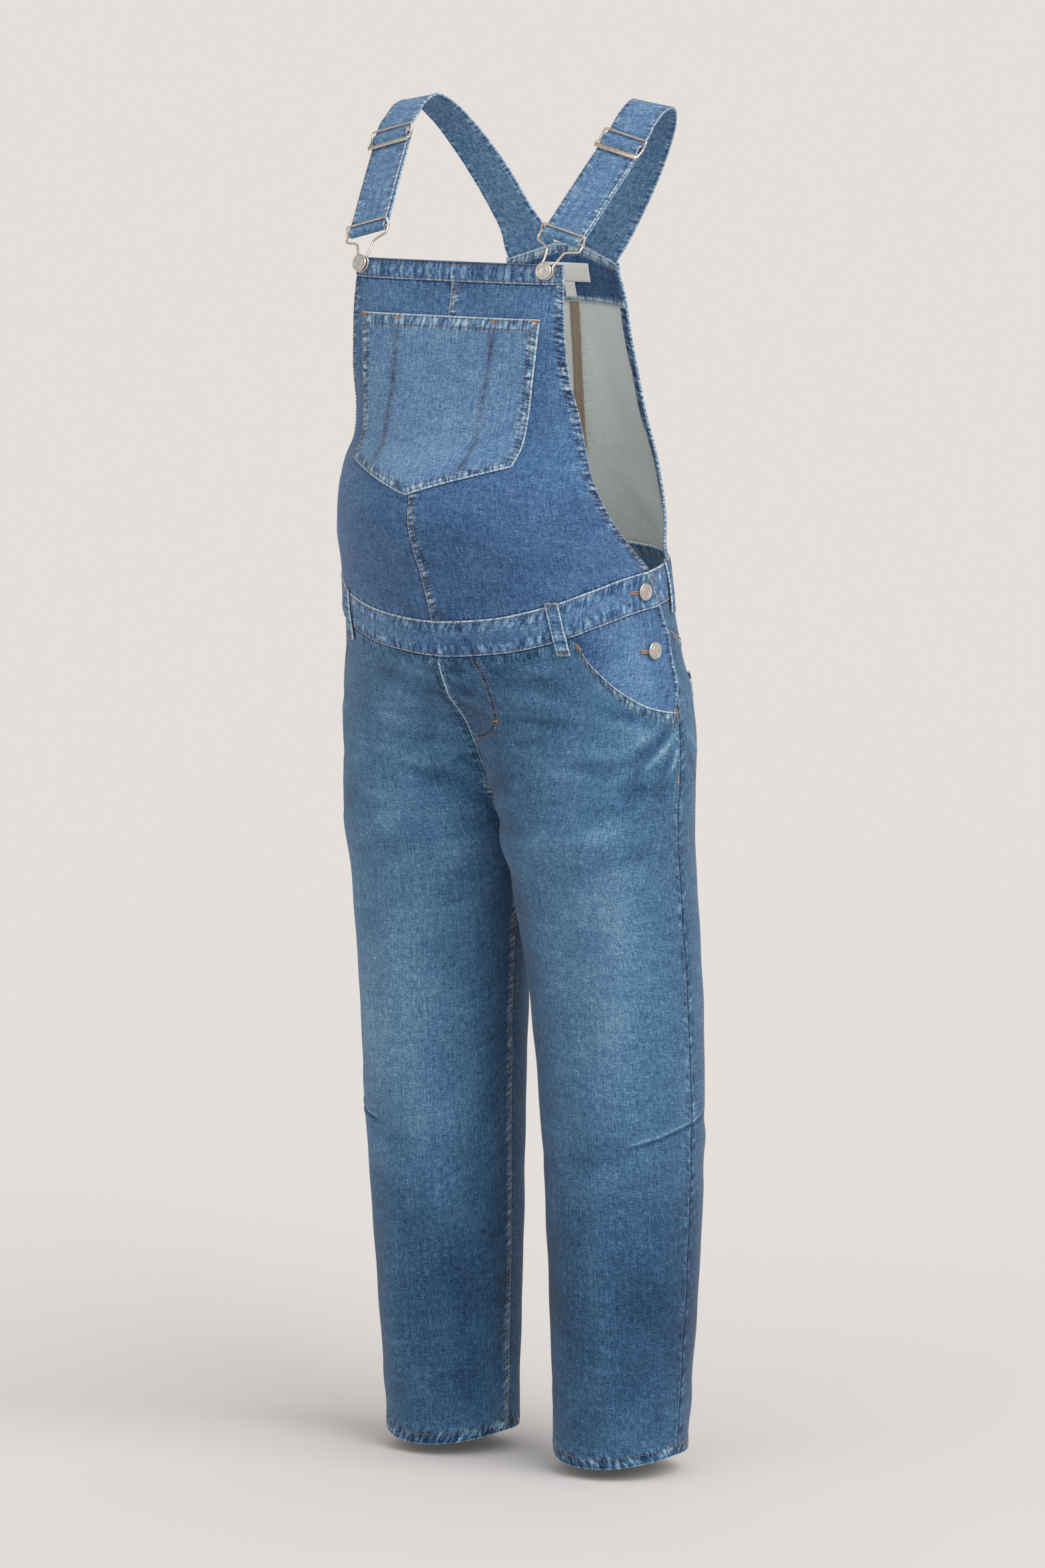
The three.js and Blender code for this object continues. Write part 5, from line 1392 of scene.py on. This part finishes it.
# Over the shoulder: the strap's middle, and the way that its face looks
STRAP_ROWS = np.array([
    (40.5, 49.3, -149.2, 0.05, 1, 0.05),
    (60, 50.5, -119, 0.06, 1, 0.15),
    (86, 46, -77, 0.1, 1, 0.35),
    (110, 34, -39, 0.15, 0.85, 0.65),
    (127, 19, -13, 0.2, 0.5, 0.9),
    (136, 2, -1, 0.2, 0, 1),
    (138.5, -17, -5, 0.17, -0.5, 0.85),
    (138, -34, -18, 0.15, -0.75, 0.65),
])
SLIDER_AT = np.array([136, -52.5, -38])
BUCKLE_AT = np.array([116, -119, -119.0])
RUN_LENGTH = float(np.linalg.norm(BUCKLE_AT - SLIDER_AT))
RUN_DOWN = (BUCKLE_AT - SLIDER_AT) / RUN_LENGTH
RUN_OUT = np.array([0.16, -1, 0.6])
RUN_OUT = unit(RUN_OUT - RUN_DOWN * (RUN_OUT @ RUN_DOWN))
RUN_ACROSS = -np.cross(RUN_DOWN, RUN_OUT)
BAR_STEP, BAR_FRONT, HUMP, BACK_LAYER = 10.0, 3.1, 3.6, -3.4
ROLL_DROP, ROLL_DEPTH, ROLL_RADIUS = 6.5, -1.7, 2.8


def on_run(s, h, w=0.0):
    """A place s down the strap's straight run from the slider, h out of it and w across it."""
    return SLIDER_AT + RUN_DOWN * s + RUN_OUT * h + RUN_ACROSS * w


def centripetal(points, share):
    """A point of the centripetal curve through the points, at a share of them."""
    last = len(points) - 1
    place = min(share * last, last - 1e-9)
    i = int(place)
    k = place - i
    p1, p2 = points[i], points[i + 1]
    p0 = points[i - 1] if i > 0 else 2 * points[0] - points[1]
    p3 = points[i + 2] if i + 2 <= last else 2 * points[last] - points[last - 1]
    d0, d1, d2 = (max(np.linalg.norm(b - a), 1e-6) ** 0.5 for a, b in ((p0, p1), (p1, p2), (p2, p3)))
    t1 = ((p1 - p0) / d0 - (p2 - p0) / (d0 + d1) + (p2 - p1) / d1) * d1
    t2 = ((p2 - p1) / d1 - (p3 - p1) / (d1 + d2) + (p3 - p2) / d2) * d1
    return (p1 + k * t1 + k * k * (-3 * p1 + 3 * p2 - 2 * t1 - t2)
            + k**3 * (2 * p1 - 2 * p2 + t1 + t2))


def run_path():
    """The strap's way through the slider, round the buckle's bar and back up, as on_run's s and h."""
    path = [(-16, 0), (-BAR_STEP, -0.3), (-5, 1.4), (-2, HUMP - 0.3), (0, HUMP), (2, HUMP - 0.3),
            (5, 1.4), (BAR_STEP, -0.3), (16, 0), (40, 0.4), (65, 0.5), (88, 0.3), (RUN_LENGTH, 0.6)]
    for degrees in np.linspace(90, -90, 9):
        a = math.radians(degrees)
        path.append((RUN_LENGTH + ROLL_DROP + ROLL_RADIUS * math.cos(a),
                     ROLL_DEPTH + ROLL_RADIUS * math.sin(a)))
    path += [(RUN_LENGTH - 6, BACK_LAYER - 0.6), (70, BACK_LAYER), (30, BACK_LAYER), (-6, BACK_LAYER)]
    return np.array(path)


def resampled(points, step):
    along = lengths_along(points)
    return interpolated(np.linspace(0, along[-1], int(along[-1] / step) + 1), along, points)


def strap_sections():
    """Centre, direction across, normal and width of each section, and its place along."""
    centres = [*STRAP_ROWS[:, :3], on_run(-16, 0), on_run(-8, 0)]
    facings = [*unit(STRAP_ROWS[:, 3:]), RUN_OUT, RUN_OUT]
    slope = unit(np.array([CORNER_HALF - PEAK_HALF, -11, CORNER_Z - PEAK_Z]))
    last = len(STRAP_ROWS) / (len(STRAP_ROWS) + 1)
    sections = []
    for k in np.linspace(0, last - 0.02, 110):
        centre = centripetal(centres, k)
        tangent = centripetal(centres, k + 1e-3) - centripetal(centres, max(0, k - 1e-3))
        facing = unit(centripetal(facings, k))
        across = unit(np.cross(facing, tangent))
        if across[0] < 0:
            across = -across
        base = 1 - smooth(0, 0.13, k)
        across = unit(across + (slope - across) * base)
        normal = unit(facing - across * (facing @ across))
        sections.append((centre, across, normal, STRAP_WIDTH + 8 * base))
    path = resampled(run_path(), 1.6)
    for i, (s, h) in enumerate(path):
        before, after = path[max(0, i - 1)], path[min(len(path) - 1, i + 1)]
        ds, dh = after - before
        normal = unit(RUN_OUT * ds - RUN_DOWN * dh)
        sections.append((on_run(s, h), RUN_ACROSS, normal, STRAP_WIDTH))
    return sections


STRAP_SHARES = [-0.5, -0.485, -0.44, -0.38, -0.28, -0.16, 0, 0.16, 0.28, 0.38, 0.44, 0.485, 0.5]
CLEAR_OF_WASH = -2000.0             # a height at which the body has no wash or creases


def make_strap(side, word, seed):
    sections = strap_sections()
    mirror = np.array([side, 1, 1])
    points = np.array([[centre + across * share * width for share in STRAP_SHARES]
                       for centre, across, _, width in sections]) * mirror
    normals = np.array([[normal] * len(STRAP_SHARES) for _, _, normal, _ in sections]) * mirror
    z = np.full(points.shape[:2], CLEAR_OF_WASH)
    angle = np.zeros(points.shape[:2])
    strap_edge = {"rope": 0.7, "puck": 0.12, "rim": 0.26, "reach": 4.5}
    edges = {"left": strap_edge, "right": strap_edge}
    strap = Cloth(points, normals, z, angle, lift=STRAP_THICK / 2, thick=STRAP_THICK, edges=edges,
                  seed=seed, relief=False, inside=0.0, tone=0.10)
    strap.make(f"strap_cloth_{word}", DENIM_BAND, "denim", f"strap_{word}")
    strap.declare(held="hung", rests_on=[f"slider_wire_{word}", f"buckle_wire_{word}"])
    sew(strap, ("left", "right"), [FIRST_ROW])
    centre = on_run(16, BACK_LAYER - STRAP_THICK / 2) * mirror
    orange.bar(centre, -RUN_OUT * mirror, RUN_ACROSS * mirror, length=22, width=2.5)


# Metal

def ring_faces(count, sides, closed):
    """Faces between rings of points, with an end face at both ends if they aren't closed."""
    faces = []
    for i in range(count if closed else count - 1):
        j = (i + 1) % count
        for k in range(sides):
            m = (k + 1) % sides
            faces.append((i * sides + k, j * sides + k, j * sides + m, i * sides + m))
    if not closed:
        faces.append(tuple(reversed(range(sides))))
        faces.append(tuple((count - 1) * sides + k for k in range(sides)))
    return faces


def tube(points, radius, closed=True, sides=14):
    points = np.array(points)
    count = len(points)
    ahead = np.roll(points, -1, axis=0)
    behind = np.roll(points, 1, axis=0)
    if not closed:
        ahead[-1], behind[0] = points[-1], points[0]
    tangents = unit(ahead - behind)
    side = unit(np.cross(tangents[0], [0.3, 0.2, 1.0]))
    frames = []
    for t in tangents:
        side = unit(side - t * (side @ t))
        frames.append((side, np.cross(t, side)))
    if closed:
        start, end = frames[0][0], frames[-1][0]
        end = unit(end - tangents[0] * (end @ tangents[0]))
        twist = math.atan2(np.cross(end, start) @ tangents[0], end @ start)
    else:
        twist = 0.0
    vertices = []
    for i, (p, (a, b)) in enumerate(zip(points, frames)):
        spin = twist * i / count
        for k in range(sides):
            t = 2 * math.pi * k / sides + spin
            vertices.append(p + (a * math.cos(t) + b * math.sin(t)) * radius)
    return vertices, ring_faces(count, sides, closed)


def rounded_loop(corners, bend):
    """A closed polyline whose corners are rounded."""
    points = []
    count = len(corners)
    for i, corner in enumerate(corners):
        before, after = corners[(i - 1) % count], corners[(i + 1) % count]
        shortest = min(np.linalg.norm(before - corner), np.linalg.norm(after - corner))
        reach = min(bend, 0.45 * shortest)
        start = corner + unit(before - corner) * reach
        end = corner + unit(after - corner) * reach
        for k in np.linspace(0, 1, 7):
            points.append((1 - k) ** 2 * start + 2 * k * (1 - k) * corner + k * k * end)
    return np.array(points)


def joined(parts):
    vertices, faces = [], []
    for more, polygons in parts:
        base = len(vertices)
        vertices += list(more)
        faces += [tuple(base + i for i in f) for f in polygons]
    return vertices, faces


def make_metal(name, parts, side, material, node):
    vertices, faces = joined(parts)
    vertices = np.array(vertices) * [side, 1, 1]
    if side < 0:
        faces = [tuple(reversed(f)) for f in faces]
    obj = add_object(name, vertices, faces, material)
    obj.data.set_sharp_from_angle(angle=math.radians(38))
    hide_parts(node)


def rounded_bar(centre, along, up, out, half, height, depth):
    """A flat bar with bevelled edges."""
    profile = [(-0.5, -0.2), (-0.5, 0.2), (-0.35, 0.5), (0.35, 0.5),
               (0.5, 0.2), (0.5, -0.2), (0.35, -0.5), (-0.35, -0.5)]
    stations = [(-half, 0.7), (-half + 0.6, 1), (half - 0.6, 1), (half, 0.7)]
    vertices = []
    for s, grow in stations:
        for a, b in profile:
            vertices.append(centre + along * s + (up * a * height + out * b * depth) * grow)
    return vertices, ring_faces(len(stations), len(profile), closed=False)


def make_slider(side, word):
    half = STRAP_WIDTH / 2 + 2.6
    corners = [on_run(s, h, sign * half) for s, h, sign in (
        (-BAR_STEP, BAR_FRONT, 1), (-BAR_STEP, BAR_FRONT, -1), (0, 0.8, -1),
        (BAR_STEP, BAR_FRONT, -1), (BAR_STEP, BAR_FRONT, 1), (0, 0.8, 1))]
    outline = tube(rounded_loop(corners, 2.4), WIRE)
    middle = tube([on_run(0, 0.2, -half), on_run(0, 0.2, half)], WIRE, closed=False)
    bar_centre = on_run(BAR_STEP, BAR_FRONT + 0.3)
    bar = rounded_bar(bar_centre, RUN_ACROSS, RUN_DOWN, RUN_OUT, half, 4.6, 1.8)
    make_metal(f"slider_wire_{word}", [outline, middle, bar], side, WIRE_METAL,
               f"slider_{word}")


BIB_BUTTON_X, BIB_BUTTON_Z = 107.4, -157.0
BUTTON_OUT = unit(np.array([0.12, -1, 0.22]))
BASE_LIFT = BAND_PROUD + SEAM_GAP + 1.3
RING_LIFT = BASE_LIFT + 3.1
RING_RADIUS, RING_UP = 8.2, 0.35
BUTTON_SEAT = body(BIB_BUTTON_Z, bib_angle(np.array(BIB_BUTTON_X), np.array(BIB_BUTTON_Z)))
RING_AT = BUTTON_SEAT + BUTTON_OUT * RING_LIFT
BUTTON_DROP = float(np.linalg.norm(RING_AT - BUCKLE_AT))
BUCKLE_DOWN = (RING_AT - BUCKLE_AT) / BUTTON_DROP
RING_DOWN = unit(BUCKLE_DOWN - BUTTON_OUT * (BUCKLE_DOWN @ BUTTON_OUT))
RING_ACROSS = -np.cross(RING_DOWN, BUTTON_OUT)


def make_buckle(side, word):
    half = STRAP_WIDTH / 2 + 3

    def hang(w, d):
        return BUCKLE_AT + RUN_ACROSS * w + BUCKLE_DOWN * d

    def flank(sign):
        return [on_run(RUN_LENGTH, 3.1, sign * half),
                on_run(RUN_LENGTH + ROLL_DROP, ROLL_DEPTH, sign * half),
                hang(sign * half, 15), hang(sign * 13, 19), hang(sign * 9.5, 21.5),
                hang(sign * 7, BUTTON_DROP - 12)]

    ring = []
    for degrees in np.linspace(130, -130, 15):
        a = math.radians(degrees)
        ring.append(RING_AT + RING_ACROSS * RING_RADIUS * math.sin(a)
                    + RING_DOWN * (RING_RADIUS * math.cos(a) - RING_UP))
    corners = flank(1) + ring + flank(-1)[::-1]
    outline = tube(rounded_loop(corners, 2.6), WIRE)
    roll_bar = tube([flank(1)[1], flank(-1)[1]], WIRE, closed=False)
    collars = []
    for sign in (1, -1):
        middle = on_run(RUN_LENGTH + ROLL_DROP, ROLL_DEPTH, sign * (half - 1.0))
        ends = [middle - RUN_ACROSS * 1.6, middle + RUN_ACROSS * 1.6]
        collars.append(tube(ends, WIRE + 0.75, closed=False))
    make_metal(f"buckle_wire_{word}", [outline, roll_bar, *collars], side, WIRE_METAL,
               f"buckle_{word}")


CAP_THICK = 2.6
SIDE_FOOT = [(0, 0), (4.6, 0), (4.6, 0.6), (2.4, 0.9), (2.4, 1.2)]
BIB_STUD = [(0, 0), (5.2, 0), (5.9, 0.25), (6.2, 0.8), (6.2, 4.1), (5.9, 4.4), (3, 4.9), (3, 5.4)]


def button_profile(foot):
    """Radius and height of a turned button: a foot and a dished cap with two plain rings."""
    r, shank = BUTTON_RADIUS, foot[-1][1]
    top = shank + CAP_THICK
    cap_side = [(-1.2, 0.0), (-0.4, 0.3), (0.0, 0.9), (0.0, 1.5)]
    cap_top = [(-0.3, 0.5), (-0.8, 0.22), (-1.5, 0.12), (-2.1, 0.2), (-2.4, 0.42), (-2.8, 0.45),
               (-3.9, 0.4), (-4.2, 0.3), (-4.5, 0.1), (-4.9, 0.06), (-5.2, 0.2), (-5.5, 0.3), (-r, 0.22)]
    return [*foot, *((r + x, shank + up) for x, up in cap_side), *((r + x, top - d) for x, d in cap_top)]


def button_parts(foot, seat, out):
    """A turned button, as points and faces."""
    profile = button_profile(foot)
    side = unit(np.cross(out, [0, 0, 1.0]))
    up = np.cross(side, out)
    count = 44
    vertices, rings = [], []
    for radius, height in profile:
        if radius == 0:
            rings.append([len(vertices)])
            vertices.append(seat + out * height)
            continue
        rings.append(list(range(len(vertices), len(vertices) + count)))
        for k in range(count):
            t = 2 * math.pi * k / count
            vertices.append(seat + out * height + (side * math.cos(t) + up * math.sin(t)) * radius)
    faces = []
    for low, high in zip(rings[:-1], rings[1:]):
        for k in range(count):
            m = (k + 1) % count
            if len(low) == 1:
                faces.append((low[0], high[k], high[m]))
            elif len(high) == 1:
                faces.append((low[m], low[k], high[0]))
            else:
                faces.append((low[m], low[k], high[k], high[m]))
    return vertices, [face[::-1] for face in faces]


SIDE_BUTTON_ANGLE = 84.0
SIDE_OUT = unit(np.array([1, -0.14, 0.05]))
SIDE_BUTTONS = [("upper", -465.0, BAND_PROUD), ("lower", -522.0, -CLOTH - LAY_GAP + 1.2)]


def make_buttons(side, word):
    seat = BUTTON_SEAT + BUTTON_OUT * BASE_LIFT
    make_metal(f"bib_button_metal_{word}", [button_parts(BIB_STUD, seat, BUTTON_OUT)], side, BUTTON_METAL,
               f"bib_button_{word}")
    for level, z, stand in SIDE_BUTTONS:
        seat = body(z, SIDE_BUTTON_ANGLE) + SIDE_OUT * (stand + SEAM_GAP + 0.5)
        make_metal(f"side_button_metal_{level}_{word}", [button_parts(SIDE_FOOT, seat, SIDE_OUT)], side,
                   BUTTON_METAL, f"side_button_{level}_{word}")
        make_buttonhole(z, stand, side)


def make_buttonhole(z, stand, side):
    """Stitches on both sides of the slit, which runs forwards from the button."""
    angles = np.linspace(SIDE_BUTTON_ANGLE - 7.5, SIDE_BUTTON_ANGLE - 2.0, 14)
    points, normals = on_body(np.full(len(angles), z) - 0.4, side * angles)
    rise = stand if stand > 0 else stand + 1.0
    points = points + normals * (rise + 0.35)
    along = unit(points[-1] - points[0])
    for sign in (-1, 1):
        aside = unit(np.cross(normals, along)) * sign
        for k in np.linspace(0, len(points) - 1, 26):
            i = int(min(k, len(points) - 2))
            at = points[i] + (points[i + 1] - points[i]) * (k - i)
            orange.rows.append((at + aside[i] * 0.25, at + aside[i] * 1.7, normals[i], 0.4, -0.05))


def body_line(places, lift, count=60):
    """A line on the body through places given as angle and z."""
    places = np.array(places, float)
    along = lengths_along(places * [MM_PER_DEGREE, 1])
    angle, z = interpolated(np.linspace(0, along[-1], count), along, places).T
    points, normals = on_body(z, angle)
    height = lift + creases(z, angle)
    return points + normals * height[:, None], normals


# The mock fly's two rows, as angle and z
FLY_OUTER = [(13.5, -531), (15.4, -544), (16.8, -561), (17.8, -576), (18.2, -588), (17.2, -598),
             (14.6, -606), (9.5, -611), (3.2, -614.5)]
FLY_INNER = [(11.9, -531), (13.8, -544), (15.2, -561), (16.2, -575), (16.5, -585), (15.6, -594),
             (13.4, -601), (9.2, -606), (3.4, -609.5)]


def make_fly_stitching():
    """The mock fly's curved double row, its bars, and the bars at the side openings."""
    for row in (FLY_OUTER, FLY_INNER):
        tan.run(body_line(row, 0.1, 90))
    points, normals = body_line([(2.4, -612), (4.4, -612)], 0.1, 3)
    orange.bar(points[1], normals[1], np.array([0, 0, 1.0]), length=5.5, width=1.6)
    orange.tack(body_line([(16.3, -592), (18.3, -592)], 0.1, 3), length=5.5, width=1.6)
    for side, _ in SIDES:
        for z in (-585, -650):
            orange.tack(body_line([(side * 89.0, z + 4), (side * 89.0, z - 4)], 0.15, 3))
        orange.tack(body_line([(side * 49.5, -513), (side * 50.5, -517)], 0.5, 3))


def make_cloth():
    for (side, word), seed in zip(SIDES, (20, 40)):
        make_leg_front(side, word, seed)
        make_leg_back(side, word, seed + 1)
        make_yoke(side, word, seed + 2)
        make_bearer(side, word, seed + 3)
        make_back_pocket(side, word, seed + 4)
        make_strap(side, word, seed + 5)
    make_waistband()
    for seed, (side, word) in enumerate(SIDES, 1):
        make_bib_half(side, word, seed)
    make_bib_band()
    make_bib_pocket()
    for seed, (side, word) in enumerate(SIDES, 5):
        make_back_half(side, word, seed)
    make_facing()
    make_label("label_cloth", "label", 27.0, -160.0, -178.0, 0.0)
    make_label("label_tab_cloth", "label_tab", 6.5, -178.4, -194.0, 0.2)
    make_back_tape()
    for seed, (word, angle) in enumerate(LOOPS, 60):
        make_loop(word, angle, seed)


def make_hardware():
    for side, word in SIDES:
        make_slider(side, word)
        make_buckle(side, word)
        make_buttons(side, word)


def make_threads():
    make_fly_stitching()
    tan.make("tan_stitches", TAN_THREAD, "denim")
    blue.make("blue_stitches", BLUE_THREAD, "denim")
    orange.make("bartacks", ORANGE_THREAD, "denim")
    overlock.make("overlock_stitches", PALE_THREAD, "denim")


# Camera, floor and light

CAMERA_AZIMUTH, CAMERA_ELEVATION, CAMERA_DISTANCE = 35.0, 7.4, 7.5
CAMERA_LENS, CAMERA_ASIDE, CAMERA_HEIGHT = 175.0, -0.0138, -0.671


def direction(azimuth, elevation):
    """A direction from the garment. The azimuth is measured from its front to the wearer's left."""
    a, e = math.radians(azimuth), math.radians(elevation)
    return Vector((math.sin(a) * math.cos(e), -math.cos(a) * math.cos(e), math.sin(e)))


def face_away_from(obj, towards):
    obj.rotation_mode = "QUATERNION"
    obj.rotation_quaternion = (-towards).to_track_quat("-Z", "Y")


def make_camera():
    data = bpy.data.cameras.new("camera")
    data.lens = CAMERA_LENS
    data.sensor_width = 36.0
    data.clip_end = 100.0
    camera = place_in_scene("camera", data)
    back = direction(CAMERA_AZIMUTH, CAMERA_ELEVATION)
    right = direction(CAMERA_AZIMUTH + 90, 0)
    camera.location = right * CAMERA_ASIDE + Vector((0, 0, CAMERA_HEIGHT)) + back * CAMERA_DISTANCE
    face_away_from(camera, back)
    bpy.context.scene.camera = camera


def make_floor():
    size, height = 300.0, -1.3455
    corners = [(x * size, y * size, height) for x, y in ((-1, -1), (1, -1), (1, 1), (-1, 1))]
    mesh = bpy.data.meshes.new("floor")
    mesh.from_pydata(corners, [], [(0, 1, 2, 3)])
    mesh.materials.append(plain_material("pale_floor", (0.80, 0.765, 0.74)))
    place_in_scene("floor", mesh)


def add_sun(name, azimuth, elevation, strength, spread):
    """A soft distant light."""
    data = bpy.data.lights.new(name, "SUN")
    data.energy = strength
    data.angle = math.radians(spread)
    face_away_from(place_in_scene(name, data), direction(azimuth, elevation))


def make_light():
    world = bpy.data.worlds.new("studio")
    bpy.context.scene.world = world
    world.use_nodes = True
    background = next(n for n in world.node_tree.nodes if n.type == "BACKGROUND")
    background.inputs["Color"].default_value = (1.0, 0.985, 0.97, 1)
    background.inputs["Strength"].default_value = 0.56
    add_sun("key", 78, 40, 1.75, 50)
    add_sun("fill", 8, 22, 0.45, 70)
    bpy.context.scene.view_settings.view_transform = "Standard"


make_camera()
make_floor()
make_light()
make_cloth()
make_hardware()
make_threads()
